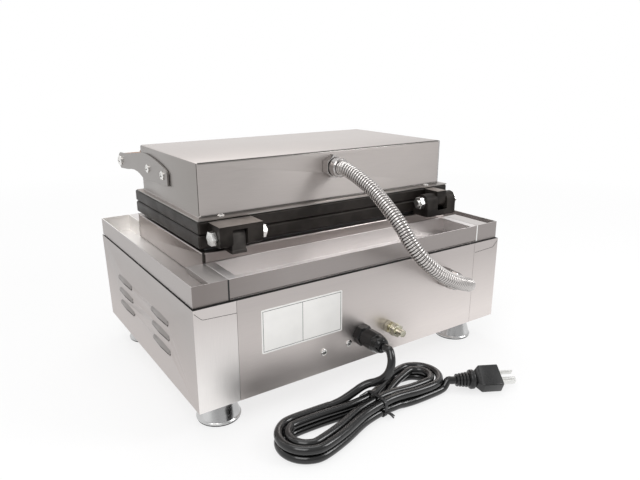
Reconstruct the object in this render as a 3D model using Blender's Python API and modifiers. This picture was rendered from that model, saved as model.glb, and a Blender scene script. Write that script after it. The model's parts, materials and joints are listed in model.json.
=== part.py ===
"""Corn dog maker: a countertop press with six hinged moulds, a stainless cabinet and a tied mains lead.

Lengths are in metres. The cabinet frame has +Y to the rear and z = 0 at the underside of the cabinet;
an empty lifts it onto the feet and centres it over the origin. Left and right are as seen from behind,
where the hinges and the mains lead are: left pieces are at +X and right pieces at -X.
"""
import math

import bmesh
import bpy
from mathutils import Euler, Matrix, Vector

OBJECT_NAME = "corn_dog_maker"

# General fits
CLEARANCE = 0.0003          # between pieces that seat on each other
OVERRUN = 0.003             # how far a cutter runs past the faces it opens
WELD = 0.00001              # points closer than this are one point
SHEET = 0.001               # stainless sheet of the cabinet

# Cabinet
CABINET_WIDTH = 0.4024
CABINET_HEIGHT = 0.1035
DECK_DEPTH = 0.291
REAR_STEP = 0.003           # rear panel stands this far behind the deck
FRONT_STEP = 0.0005         # front panel top stands this far inside the deck
PANEL_SLANT = 0.0104        # how much further in the front panel is at its foot
WRAP_WIDTH = 0.042          # side panels turn this far round the rear corners
HEM_WIDTH = 0.012           # turned-in edges of the sheets
PANEL_SHEET = 0.0012
BOTTOM_SLOT_COLUMNS = 4
BOTTOM_SLOT_PITCH = 0.068
BOTTOM_SLOT_WIDTH = 0.006
BOTTOM_SLOT_LENGTH = 0.045
BOTTOM_SLOT_REACH = 0.0485  # slot rows in front of and behind the middle

# Deck, gutters and drip trays
DECK_HEIGHT = 0.0205
DECK_SINK = 0.0002          # deck floor starts this far above the cabinet top
GUTTER_WIDTH = 0.0339
REAR_TROUGH_DEPTH = 0.0538
FRONT_TROUGH_DEPTH = 0.0415
TROUGH_DIVIDER = 0.0014
TRAY_SHEET = 0.001
TRAY_LIP = 0.0085
DECK_WINDOW_MARGIN = 0.022
CORNER_LEDGE_WIDTH = 0.0185     # ledge over the rear end of each gutter
CORNER_LEDGE_DROP = 0.006

# Pedestal under the lower plate
PEDESTAL_RISE = 0.0102      # stands this far above the deck rim
PEDESTAL_SHEET = 0.0012
PEDESTAL_LEDGE = 0.014
PEDESTAL_CORNER_SLOT = 0.0034   # open seam at the rear corners
SPACER_HEIGHT = 0.0031
SPACER_INSET = 0.006
SPACER_WIDTH = 0.007

# Cooking plates
PLATE_OVERHANG_X = 0.0014
PLATE_FRONT_SETBACK = 0.0019
PLATE_REAR_SETBACK = 0.0023
LOWER_PLATE_HEIGHT = 0.0139
UPPER_PLATE_HEIGHT = 0.0134
PLATE_CHAMFER = 0.0015

# Moulds in the plates
MOULD_COUNT = 6
MOULD_RIM = 0.0085          # between the plate's edge and the outer mould's share of the width
MOULD_WIDTH = 0.038
MOULD_DEPTH = 0.016
MOULD_WALL = 0.0028
MOULD_FRONT_LAND = 0.0305   # from the plate's front edge to the moulds
MOULD_REAR_LAND = 0.027     # from the moulds to the plate's rear edge
MOULD_RIB_COUNT = 4
MOULD_RIB_HEIGHT = 0.0012
MOULD_RIB_HALF_WIDTH = 0.0035
MOULD_SIDES = 10
MOULD_END_STEPS = 3
STICK_CHANNEL_RADIUS = 0.004

# Tubular heaters
HEATER_RADIUS = 0.00325
HEATER_BEND = 0.008
HEATER_LEAD = 0.012
HEATER_MARGIN = 0.0026      # between the heater's bends and the mould ends

# Upper housing
HOUSING_LEDGE_X = 0.006
HOUSING_LEDGE_FRONT = 0.0136
HOUSING_LEDGE_REAR = 0.0108
HOUSING_HEIGHT = 0.0549
HOUSING_SHEET = 0.0012
HOUSING_EDGE_RADIUS = 0.002
HOUSING_FLANGE_INSET = 0.0004

# Lid hinge
HINGE_SETBACK = 0.0146      # axis behind the plates' rear edge
HINGE_BOLT_RADIUS = 0.004
HINGE_BORE_CLEARANCE = 0.00035
HINGE_LEFT_INSET = 0.0316   # middle of the left hinge's knuckle, in from the plate's end
HINGE_RIGHT_INSET = 0.0312
KNUCKLE_WIDTH = 0.0147
KNUCKLE_RADIUS = 0.0075
HINGE_SIDE_GAP = 0.00045
CHEEK_INNER_WIDTH = 0.017
CHEEK_OUTER_WIDTH = 0.0137
CHEEK_DROP = 0.0086         # cheeks reach this far below the axis
CHEEK_REAR = 0.0115
CHEEK_CORNER = 0.0045
WEB_THICKNESS = 0.0042
WEB_CLEARANCE = 0.0008      # web passes the knuckle's stem with this
BAND_CLEARANCE = 0.0022     # below the turning knuckle
EAR_RADIUS = 0.0098
FOOT_LUG_STEP = 0.0006      # the left bracket's foot stands this far out at the sides and rear
BOLT_HEAD_FLATS = 0.013
BOLT_HEAD_HEIGHT = 0.0053
NUT_HEIGHT = 0.0065
BOLT_STICK_OUT = 0.0022

# Handle
ARM_THICKNESS = 0.0025
ARM_GAP = 0.0003
HANDLE_REACH = 0.1622       # bar axis in front of the frame's middle
HANDLE_RISE = 0.0274        # bar axis above the upper plate
ARM_TIP_RADIUS = 0.0102
ARM_BACK = 0.0035           # arm's rear edge behind the frame's middle
# Arm outline from the bar's top edge to the rear and back below, in shares of reach and rise
ARM_OUTLINE_SHARES = [
    (0.09, 0.39), (0.27, 0.52), (0.45, 0.68), (0.55, 0.745), (0.62, 0.745), (0.695, 0.7), (0.76, 0.655),
    (0.823, 0.594), (0.88, 0.53), (0.935, 0.45), (0.985, 0.36), (1.0, 0.29), (1.003, 0.2), (1.003, -0.25),
    (0.533, -0.4), (0.5, -0.34), (0.45, -0.25), (0.39, -0.19), (0.32, -0.17), (0.25, -0.2), (0.16, -0.28),
]
BAR_RADIUS = 0.0122
BAR_NECK_RADIUS = 0.009
BAR_SWELL = 0.0018
BAR_NECK_LENGTH = 0.0244
BAR_COLLAR_LENGTH = 0.0036

# Feet
FOOT_HEIGHT = 0.03
FOOT_LIP = 0.0025
FOOT_BASE_RADIUS = 0.0225
FOOT_TOP_RADIUS = 0.0138
FOOT_INSET_X = 0.0335
FOOT_FRONT_INSET = 0.0406
FOOT_REAR_INSET = 0.034
FOOT_STUD_RADIUS = 0.004
FOOT_STUD_HEIGHT = 0.009

# Louvers in the side panels
LOUVER_ROWS = 3
LOUVER_LENGTH = 0.048
LOUVER_HEIGHT = 0.0078
LOUVER_PROUD = 0.003
LOUVER_PITCH = 0.016
LOUVER_TOP = 0.066
LOUVER_REACH = 0.058        # column centres in front of and behind the middle
LOUVER_SHEET = 0.0009
LOUVER_MOUTH_DROP = 0.0018

# Rear fittings
GLAND_X = 0.014
GLAND_Z = 0.0315
GLAND_RADIUS = 0.0105
GLAND_LENGTH = 0.0382
GLAND_NUT_LENGTH = 0.009
GLAND_SHANK_RADIUS = 0.008
GLAND_SHANK_LENGTH = 0.010
GLAND_TIP_RADIUS = 0.0072
GLAND_STEP = 0.0024
STUD_X = -0.025
STUD_Z = 0.030
STUD_RADIUS = 0.004
STUD_LENGTH = 0.025
STUD_NUT_FLATS = 0.013
STUD_NUT_HEIGHT = 0.0055
CONNECTOR_NUT_FLATS = 0.022
CONNECTOR_NUT_LENGTH = 0.010
CONNECTOR_LENGTH = 0.0203
CONNECTOR_FERRULE_RADIUS = 0.0105
CONNECTOR_SHANK_RADIUS = 0.007
CONNECTOR_SHANK_LENGTH = 0.006
CONNECTOR_STEP = 0.0013
UPPER_CONNECTOR_X = 0.005
UPPER_CONNECTOR_DROP = 0.0165   # below the housing's top
LOWER_CONNECTOR_INSET = 0.0902  # in from the cabinet's right side
LOWER_CONNECTOR_Z = 0.0702

# Metal hose between cabinet and lid
HOSE_RADIUS = 0.0077
HOSE_GROOVE = 0.00085
HOSE_BORE_RADIUS = 0.0052
HOSE_RIB_PITCH = 0.0033
HOSE_PLAIN_END = 0.004
# Places of the hose's bends, in shares of the way across, back and down from the upper union to the lower
HOSE_ROUTE_SHARES = [
    (0.0069, 0.1259, 0.0068), (0.0345, 0.3262, 0.0504), (0.0733, 0.6123, 0.1331), (0.0991, 0.9127, 0.2496),
    (0.125, 1.1416, 0.3624), (0.1595, 1.299, 0.4789), (0.2155, 1.4206, 0.5805), (0.3017, 1.4993, 0.6669),
    (0.4138, 1.5422, 0.7459), (0.5431, 1.5565, 0.8098), (0.681, 1.5351, 0.8624), (0.8147, 1.4564, 0.9113),
    (0.9224, 1.3276, 0.9564), (0.9845, 1.1631, 0.9902),
]

# Control panel fittings, places up from the panel's middle
KNOB_HEIGHT = 0.017
KNOB_SKIRT_RADIUS = 0.0215
KNOB_SKIRT_HEIGHT = 0.004
KNOB_WAIST_RADIUS = 0.0175
KNOB_TOP_RADIUS = 0.016
KNOB_CHAMFER = 0.0017
KNOB_GRIP_WIDTH = 0.009
KNOB_GRIP_DEPTH = 0.007
KNOB_GRIP_REACH = 0.0152
KNOB_GAP = 0.0008           # between the panel and the knob's skirt
KNOB_SPACING = 0.086
KNOB_HEIGHT_ON_PANEL = -0.004
SHAFT_RADIUS = 0.003
SHAFT_LENGTH = 0.013
CONTROL_BODY_WIDTH = 0.036
CONTROL_BODY_DEPTH = 0.028
LAMP_RADIUS = 0.0055
LAMP_BEZEL_RADIUS = 0.0075
LAMP_BEZEL_HEIGHT = 0.0022
LAMP_LENGTH = 0.022
LAMP_HEIGHT_ON_PANEL = 0.032
LAMP_DOME_SHARE = 0.75      # of the bezel's height and the lens's radius
SWITCH_WIDTH = 0.021
SWITCH_HEIGHT = 0.028
SWITCH_FRAME = 0.003
SWITCH_FRAME_PROUD = 0.002
SWITCH_BODY_DEPTH = 0.022
SWITCH_INSET = 0.0532       # in from the cabinet's left side
ROCKER_ANGLE_DEG = 9.0
ROCKER_GAP = 0.0005
TERMINAL_BLOCK = (0.052, 0.022, 0.018)
TERMINAL_SLOT_COUNT = 3
TERMINAL_SLOT_WIDTH = 0.0065
TERMINAL_SLOT_DEPTH = 0.003

# Mains lead
CORD_DIAMETER = 0.0084
LEAD_ROUTE = [
    (0.0148, 0.1985, 0.0292), (0.0168, 0.2025, 0.0235), (0.0193, 0.2038, 0.0160),
    (0.0220, 0.2022, 0.0090), (0.0252, 0.1980, 0.0030), (0.0292, 0.1930, -0.0010),
    (0.0345, 0.1882, -0.0036), (0.0405, 0.1852, -0.0066), (0.0480, 0.1842, -0.0098),
    (0.0570, 0.1838, -0.0128), (0.0670, 0.1838, -0.0150), (0.0770, 0.1831, -0.0162),
]
HANK_X = 0.035
HANK_Y = 0.197
HANK_TURN_DEG = 6.2
HANK_WAIST_PITCH = 0.0091
HANK_LOBE_PITCH = 0.0094
HANK_LAYER_PITCH = 0.0091
HANK_LEFT_REACH = 0.1135    # cord centreline of the outer loop, from the tie
HANK_RIGHT_REACH = 0.0925
HANK_LEFT_RADIUS = 0.0262
HANK_RIGHT_RADIUS = 0.0232
HANK_END = 0.012
HANK_SPLAY_DEG = 7.0        # the tail leaves the tie outwards at this angle
HANK_LANES = 4              # cords side by side through the tie
HANK_LIFT_RUN = 0.055       # cords come down from the tie's band over this length
HANK_STATION_SHARES = (0, 0.3, 0.68)    # places along a run, from the tie to its turn
LEAD_END_STATION = 2        # the lead becomes the hank's outer cord at this place of the first run
HANK_WAIST_SHARE = 0.12     # share of a run that stays parallel by the tie
HANK_TURN_SHARE = 0.3       # share of a lobe's progress spent in its turn
HANK_TURN_STATIONS = 7
HANK_NARROW_SHARES = (0.5, 0.98)        # when a lobe steps in, drops a layer and steps out
HANK_DROP_SHARES = (0.22, 0.72)
HANK_WIDEN_SHARES = (-0.05, 0.42)
GAP_SKIP = 5                # least gap is measured between places more diameters apart than this
FLOOR_CLEARANCE = 0.0002
TIE_THICKNESS = 0.0009
TIE_WIDTH = 0.004
TIE_CLEARANCE = 0.0005
TAIL_ROUTE = [
    (0.0040, 0.2112, -0.0254), (-0.0080, 0.2126, -0.0256), (-0.0210, 0.2132, -0.0256),
    (-0.0340, 0.2134, -0.0256), (-0.0430, 0.2134, -0.0254), (-0.0500, 0.2132, -0.0241),
]
PLUG_X = -0.0638
PLUG_Y = 0.2171
PLUG_TURN_DEG = 152.0
PLUG_ROLL_DEG = 26.0        # it lies on one lower edge, its broad face turned up
PLUG_WIDTH = 0.0260
PLUG_THICKNESS = 0.0138
PLUG_NECK_WIDTH = 0.0150
PLUG_LENGTH = 0.0285
PLUG_SHOULDER_LENGTH = 0.007
PLUG_CHAMFER = 0.0012
PLUG_SIDES = 4
RELIEF_LENGTH = 0.0135
RELIEF_RADIUS = 0.0082
RELIEF_TIP_RADIUS = 0.0066
RELIEF_GROOVE = 0.0014
RELIEF_RIB_COUNT = 4
RELIEF_RIB_SHARE = 0.62     # of the rib pitch
COLLAR_RADIUS = 0.0104
COLLAR_LENGTH = 0.0070
COLLAR_ROUNDING = 0.0022
BLADE_WIDTH = 0.0063
BLADE_THICKNESS = 0.0016
BLADE_LENGTH = 0.016
BLADE_SPACING = 0.0127
GROUND_PIN_RADIUS = 0.0024
GROUND_PIN_LENGTH = 0.0185
GROUND_PIN_DROP = 0.0036

# Fineness of round forms
ROUND_STEPS = 20
SMALL_ROUND_STEPS = 12
HEX_STEPS = 6
BEND_STEPS = 3

# Places worked out from the sizes above
CABINET_HALF = CABINET_WIDTH / 2
DECK_HALF_X = CABINET_HALF - SHEET - CLEARANCE
DECK_HALF_Y = DECK_DEPTH / 2
CABINET_REAR = DECK_HALF_Y + REAR_STEP
PANEL_TOP_Y = FRONT_STEP - DECK_HALF_Y
PANEL_FOOT_Y = PANEL_TOP_Y + PANEL_SLANT
PANEL_ANGLE = math.atan2(PANEL_SLANT, CABINET_HEIGHT)
DECK_BOTTOM = CABINET_HEIGHT + DECK_SINK
DECK_TOP = DECK_BOTTOM + DECK_HEIGHT
DECK_FLOOR = DECK_BOTTOM + TRAY_SHEET
PEDESTAL_HALF_X = DECK_HALF_X - GUTTER_WIDTH
PEDESTAL_FRONT = FRONT_TROUGH_DEPTH - DECK_HALF_Y
PEDESTAL_REAR = DECK_HALF_Y - REAR_TROUGH_DEPTH
PEDESTAL_BOTTOM = DECK_FLOOR + CLEARANCE
PEDESTAL_TOP = DECK_TOP + PEDESTAL_RISE
PLATE_HALF_X = PEDESTAL_HALF_X + PLATE_OVERHANG_X
PLATE_FRONT = PEDESTAL_FRONT + PLATE_FRONT_SETBACK
PLATE_REAR = PEDESTAL_REAR - PLATE_REAR_SETBACK
LOWER_PLATE_BOTTOM = PEDESTAL_TOP + SPACER_HEIGHT
SPLIT_Z = LOWER_PLATE_BOTTOM + LOWER_PLATE_HEIGHT
LOWER_PLATE_TOP = SPLIT_Z - CLEARANCE / 2
UPPER_PLATE_BOTTOM = SPLIT_Z + CLEARANCE / 2
UPPER_PLATE_TOP = SPLIT_Z + UPPER_PLATE_HEIGHT
MOULD_PITCH = (2 * PLATE_HALF_X - 2 * MOULD_RIM) / MOULD_COUNT
MOULD_FRONT = PLATE_FRONT + MOULD_FRONT_LAND
MOULD_REAR = PLATE_REAR - MOULD_REAR_LAND
MOULD_LENGTH = MOULD_REAR - MOULD_FRONT
HOUSING_HALF_X = PLATE_HALF_X - HOUSING_LEDGE_X
HOUSING_FRONT = PLATE_FRONT + HOUSING_LEDGE_FRONT
HOUSING_REAR = PLATE_REAR - HOUSING_LEDGE_REAR
HOUSING_BOTTOM = UPPER_PLATE_TOP + CLEARANCE
HOUSING_TOP = UPPER_PLATE_TOP + HOUSING_HEIGHT
HINGE_LEFT_X = PLATE_HALF_X - HINGE_LEFT_INSET
HINGE_RIGHT_X = HINGE_RIGHT_INSET - PLATE_HALF_X
HINGE_Y = PLATE_REAR + HINGE_SETBACK
HINGE_Z = SPLIT_Z
HANDLE_Y = -HANDLE_REACH
HANDLE_Z = UPPER_PLATE_TOP + HANDLE_RISE
LOWER_CONNECTOR_X = LOWER_CONNECTOR_INSET - CABINET_HALF
HOSE_START = (UPPER_CONNECTOR_X, HOUSING_REAR + CONNECTOR_LENGTH + CLEARANCE,
              HOUSING_TOP - UPPER_CONNECTOR_DROP)
HOSE_END = (LOWER_CONNECTOR_X, CABINET_REAR + CONNECTOR_LENGTH + CLEARANCE, LOWER_CONNECTOR_Z)
HOSE_ROUTE = [tuple(near + share * (far - near) for near, far, share in zip(HOSE_START, HOSE_END, shares))
              for shares in HOSE_ROUTE_SHARES]
HOSE_REAR = max(point[1] for point in HOSE_ROUTE) + HOSE_RADIUS
FRAME_SHIFT_Y = -(HOSE_REAR + HANDLE_Y - BAR_RADIUS) / 2
FLOOR_Z = -FOOT_HEIGHT
CORD_RADIUS = CORD_DIAMETER / 2
SWITCH_X = CABINET_HALF - SWITCH_INSET
FOOT_X = CABINET_HALF - FOOT_INSET_X
FOOT_FRONT_Y = FOOT_FRONT_INSET + PANEL_TOP_Y
FOOT_REAR_Y = CABINET_REAR - FOOT_REAR_INSET


# Scene, collections and materials

def clear_scene():
    for item in list(bpy.data.objects):
        bpy.data.objects.remove(item, do_unlink=True)


def make_collection(name):
    collection = bpy.data.collections.new(name)
    bpy.context.scene.collection.children.link(collection)
    return collection


def make_material(name, color, roughness, metallic):
    material = bpy.data.materials.new(name)
    material.use_nodes = True
    shader = material.node_tree.nodes["Principled BSDF"]
    shader.inputs["Base Color"].default_value = (*color, 1.0)
    shader.inputs["Roughness"].default_value = roughness
    shader.inputs["Metallic"].default_value = metallic
    return material


def make_empty(name, location=(0, 0, 0), rotation=(0, 0, 0), parent=None):
    empty = bpy.data.objects.new(name, None)
    parts.objects.link(empty)
    empty.location = location
    empty.rotation_euler = rotation
    empty.parent = parent
    return empty


clear_scene()
parts = make_collection(OBJECT_NAME)
cutters = make_collection("cutters")

FINISHES = {
    "stainless": ((0.55, 0.53, 0.51), 0.32, 1.0),
    "cast_plate": ((0.05, 0.048, 0.045), 0.45, 0.2),
    "cast_hinge": ((0.10, 0.097, 0.093), 0.5, 0.6),
    "zinc": ((0.75, 0.75, 0.74), 0.3, 1.0),
    "chrome": ((0.82, 0.82, 0.83), 0.12, 1.0),
    "brass": ((0.72, 0.55, 0.22), 0.3, 1.0),
    "black_plastic": ((0.03, 0.03, 0.032), 0.4, 0.0),
    "cord_rubber": ((0.025, 0.025, 0.027), 0.3, 0.0),
    "handle_wood": ((0.62, 0.42, 0.24), 0.5, 0.0),
    "heater_steel": ((0.30, 0.29, 0.28), 0.4, 1.0),
    "lamp_red": ((0.70, 0.05, 0.03), 0.2, 0.0),
    "lamp_green": ((0.05, 0.50, 0.10), 0.2, 0.0),
    "cream_plastic": ((0.80, 0.78, 0.72), 0.6, 0.0),
}

# The frame empty stands the cabinet on its feet; moving groups hang from empties on their joint axes.
frame = make_empty("cabinet_frame", (0, FRAME_SHIFT_Y, FOOT_HEIGHT))
lid = make_empty("lid_axis", (0, HINGE_Y, HINGE_Z), parent=frame)
panel = make_empty(
    "control_panel_plane",
    (0, (PANEL_TOP_Y + PANEL_FOOT_Y) / 2, CABINET_HEIGHT / 2),
    (math.pi / 2 + PANEL_ANGLE, 0, 0),
    frame,
)


# Making and placing pieces

def carry(item, parent):
    """Hang a piece that was made in the cabinet frame from an empty of that frame."""
    item.parent = parent
    if parent not in (frame, panel):
        item.location = Vector(item.location) - Vector(parent.location)
    return item


def give(item, finish, parent, smooth_deg=None):
    """Make an object one of the maker's pieces, in its own material."""
    color, roughness, metallic = FINISHES[finish]
    item.data.materials.clear()
    item.data.materials.append(make_material(item.name, color, roughness, metallic))
    if smooth_deg is not None:
        item.data.shade_smooth()
        item.data.set_sharp_from_angle(angle=math.radians(smooth_deg))
    return carry(item, parent)


def new_object(name, data, collection=None):
    item = bpy.data.objects.new(name, data)
    (collection or parts).objects.link(item)
    return item


def from_bmesh(name, mesh, collection=None):
    data = bpy.data.meshes.new(name)
    bmesh.ops.recalc_face_normals(mesh, faces=mesh.faces)
    mesh.to_mesh(data)
    mesh.free()
    return new_object(name, data, collection)


def box(name, low, high, collection=None):
    """A box between two corners, with its origin at its middle."""
    low, high = Vector(low), Vector(high)
    mesh = bmesh.new()
    bmesh.ops.create_cube(mesh, size=1.0)
    bmesh.ops.scale(mesh, vec=high - low, verts=mesh.verts)
    item = from_bmesh(name, mesh, collection)
    item.location = (low + high) / 2
    return item


def as_cutter(item, parent=None):
    """Move a solid to the cutters, where it only shapes other pieces."""
    if item.name not in cutters.objects:
        for home in list(item.users_collection):
            home.objects.unlink(item)
        cutters.objects.link(item)
    item.hide_render = True
    item.display_type = "WIRE"
    return carry(item, parent or frame)


def boolean(item, tool, operation="DIFFERENCE"):
    modifier = item.modifiers.new(f"{operation.lower()} {tool.name}", "BOOLEAN")
    modifier.operation = operation
    modifier.solver = "EXACT"
    modifier.object = tool
    return item


def bevel(item, width, segments=1, angle_deg=40.0):
    modifier = item.modifiers.new("edges", "BEVEL")
    modifier.width = width
    modifier.segments = segments
    modifier.limit_method = "ANGLE"
    modifier.angle_limit = math.radians(angle_deg)
    return item


def solidify(item, thickness, offset):
    modifier = item.modifiers.new("sheet", "SOLIDIFY")
    modifier.thickness = thickness
    modifier.offset = offset
    modifier.use_even_offset = True
    return item


def turned(name, profile, steps=ROUND_STEPS, collection=None):
    """A solid of revolution about local Z; the profile runs from the top of the axis to its foot."""
    data = bpy.data.meshes.new(name)
    points = [(radius, 0, height) for radius, height in profile]
    data.from_pydata(points, [(index, index + 1) for index in range(len(points) - 1)], [])
    item = new_object(name, data, collection)
    screw = item.modifiers.new("turn", "SCREW")
    screw.axis = "Z"
    screw.steps = steps
    screw.render_steps = steps
    screw.use_merge_vertices = True
    screw.merge_threshold = WELD
    screw.use_smooth_shade = False
    return item


def cylinder(name, radius, bottom, top, steps=ROUND_STEPS, collection=None):
    mesh = bmesh.new()
    bmesh.ops.create_cone(
        mesh, cap_ends=True, segments=steps, radius1=radius, radius2=radius, depth=top - bottom)
    bmesh.ops.translate(mesh, vec=(0, 0, (top + bottom) / 2), verts=mesh.verts)
    return from_bmesh(name, mesh, collection)


def to_mesh(item):
    """Turn a curve object into a welded closed mesh object of the same name and place."""
    name, collection = item.name, item.users_collection[0]
    bpy.context.view_layer.update()
    evaluated = item.evaluated_get(bpy.context.evaluated_depsgraph_get())
    data = bpy.data.meshes.new_from_object(evaluated)
    mesh = bmesh.new()
    mesh.from_mesh(data)
    bmesh.ops.remove_doubles(mesh, verts=mesh.verts, dist=WELD)
    bmesh.ops.recalc_face_normals(mesh, faces=mesh.faces)
    mesh.to_mesh(data)
    mesh.free()
    matrix = item.matrix_world.copy()
    bpy.data.objects.remove(item, do_unlink=True)
    data.name = name
    solid = new_object(name, data, collection)
    solid.matrix_basis = matrix
    return solid


def flat_plate(name, outlines, thickness, location, rotation, collection=None):
    """A flat piece cut to one or more outlines; inner outlines are holes."""
    curve = bpy.data.curves.new(name, "CURVE")
    curve.dimensions = "2D"
    curve.fill_mode = "BOTH"
    curve.extrude = thickness / 2
    for outline in outlines:
        spline = curve.splines.new("POLY")
        spline.points.add(len(outline) - 1)
        for point, (across, up) in zip(spline.points, outline):
            point.co = (across, up, 0, 1)
        spline.use_cyclic_u = True
    item = new_object(name, curve, collection)
    item.location = location
    item.rotation_euler = rotation
    return to_mesh(item)


def arc(middle, radius, start_deg, end_deg, count):
    """Points of an arc in the plane of an outline."""
    turn = math.radians(end_deg - start_deg)
    first = math.radians(start_deg)
    return [
        (middle[0] + radius * math.cos(first + turn * index / (count - 1)),
         middle[1] + radius * math.sin(first + turn * index / (count - 1)))
        for index in range(count)
    ]


def smooth_route(route, spacing):
    """Evenly spaced points on a Catmull-Rom curve through the route."""
    route = [Vector(point) for point in route]
    padded = [2 * route[0] - route[1]] + route + [2 * route[-1] - route[-2]]
    dense = []
    fine = 24
    for before, start, end, after in zip(padded, padded[1:], padded[2:], padded[3:]):
        for index in range(fine):
            t = index / fine
            dense.append(
                0.5 * (2 * start + (end - before) * t
                       + (2 * before - 5 * start + 4 * end - after) * t * t
                       + (3 * start - before - 3 * end + after) * t * t * t))
    dense.append(route[-1])
    lengths = [0.0]
    for start, end in zip(dense, dense[1:]):
        lengths.append(lengths[-1] + (end - start).length)
    count = max(2, round(lengths[-1] / spacing))
    points, place = [], 0
    for index in range(count + 1):
        target = lengths[-1] * index / count
        while place < len(lengths) - 2 and lengths[place + 1] < target:
            place += 1
        span = lengths[place + 1] - lengths[place]
        points.append(dense[place].lerp(dense[place + 1], (target - lengths[place]) / span))
    return points


def tube(name, points, radius, resolution, factors=None, collection=None):
    """A closed tube along points; factors scale its radius at each of them."""
    curve = bpy.data.curves.new(name, "CURVE")
    curve.dimensions = "3D"
    curve.bevel_depth = radius
    curve.bevel_resolution = resolution
    curve.use_fill_caps = True
    spline = curve.splines.new("POLY")
    spline.points.add(len(points) - 1)
    for index, point in enumerate(points):
        spline.points[index].co = (*point, 1)
        spline.points[index].radius = factors[index] if factors else 1.0
    return to_mesh(new_object(name, curve, collection))


def path_length(points):
    return sum((Vector(end) - Vector(start)).length for start, end in zip(points, points[1:]))


# A flat outline in the side view stands in the YZ plane, its thickness along X.
SIDE_VIEW = Euler((math.pi / 2, 0, math.pi / 2))
# A turned piece that points to the rear has its axis along +Y.
TO_REAR = Euler((-math.pi / 2, 0, 0))
# A turned piece across the maker has its axis along +X.
ACROSS = Euler((0, math.pi / 2, 0))


# Cabinet

def louver_hood(name, length, height, proud, centre):
    """A long flat-sided dome: a sphere stretched to a capsule along Y."""
    mesh = bmesh.new()
    bmesh.ops.create_uvsphere(mesh, u_segments=8, v_segments=4, radius=1.0)
    bmesh.ops.rotate(mesh, cent=(0, 0, 0), matrix=Matrix.Rotation(math.pi / 2, 3, "X"), verts=mesh.verts)
    reach = length / 2 - height / 2
    bmesh.ops.scale(mesh, vec=(proud, height / 2, height / 2), verts=mesh.verts)
    for vertex in mesh.verts:
        if abs(vertex.co.y) > WELD:
            vertex.co.y += math.copysign(reach, vertex.co.y)
    bmesh.ops.translate(mesh, vec=centre, verts=mesh.verts)
    return mesh


def joined(name, meshes, collection=None):
    """One object from several bmeshes."""
    data = bpy.data.meshes.new(name)
    whole = bmesh.new()
    for mesh in meshes:
        bmesh.ops.recalc_face_normals(mesh, faces=mesh.faces)
        mesh.to_mesh(data)
        whole.from_mesh(data)
        mesh.free()
    whole.to_mesh(data)
    whole.free()
    return new_object(name, data, collection)


def side_panel(name, side):
    """A side sheet with a hemmed foot, turned round the rear corner, with pressed louvers."""
    outer = side * (CABINET_HALF - SHEET / 2)
    rear = CABINET_REAR - SHEET / 2
    inner = side * (CABINET_HALF - WRAP_WIDTH)
    foot, top = CLEARANCE, CABINET_HEIGHT - CLEARANCE
    slant = PANEL_SLANT * (top - foot) / CABINET_HEIGHT
    mesh = bmesh.new()
    ends = []
    for height, front in ((foot, PANEL_TOP_Y + slant), (top, PANEL_TOP_Y)):
        ends.append([mesh.verts.new((outer, front, height)), mesh.verts.new((outer, rear, height)),
                     mesh.verts.new((inner, rear, height))])
    low, high = ends
    for index in range(2):
        mesh.faces.new((low[index], low[index + 1], high[index + 1], high[index]))
    item = from_bmesh(name, mesh)
    solidify(item, SHEET, 0)
    hoods, mouths = [], []
    for column in (-1, 1):
        for row in range(LOUVER_ROWS):
            centre = Vector((side * CABINET_HALF, column * LOUVER_REACH, LOUVER_TOP - row * LOUVER_PITCH))
            hoods.append(louver_hood("hood", LOUVER_LENGTH, LOUVER_HEIGHT, LOUVER_PROUD, centre))
            centre.z -= LOUVER_MOUTH_DROP
            mouths.append(louver_hood(
                "mouth", LOUVER_LENGTH - 2 * LOUVER_SHEET, LOUVER_HEIGHT, LOUVER_PROUD - LOUVER_SHEET,
                centre))
    boolean(item, as_cutter(joined(f"{name}_hoods", hoods)), "UNION")
    boolean(item, as_cutter(joined(f"{name}_mouths", mouths)))
    return give(item, "stainless", frame)


def rear_panel():
    half = CABINET_HALF - WRAP_WIDTH - CLEARANCE
    item = box("rear_panel", (-half, CABINET_REAR - SHEET, CLEARANCE),
               (half, CABINET_REAR, CABINET_HEIGHT - CLEARANCE))
    for name, x, z, radius in (
            ("gland_hole", GLAND_X, GLAND_Z, GLAND_SHANK_RADIUS),
            ("stud_hole", STUD_X, STUD_Z, STUD_RADIUS),
            ("lower_hose_hole", LOWER_CONNECTOR_X, LOWER_CONNECTOR_Z, CONNECTOR_SHANK_RADIUS)):
        hole = cylinder(name, radius + CLEARANCE, -SHEET - OVERRUN, OVERRUN, SMALL_ROUND_STEPS)
        hole.rotation_euler = TO_REAR
        hole.location = (x, CABINET_REAR, z)
        boolean(item, as_cutter(hole))
    return give(item, "stainless", frame)


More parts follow.
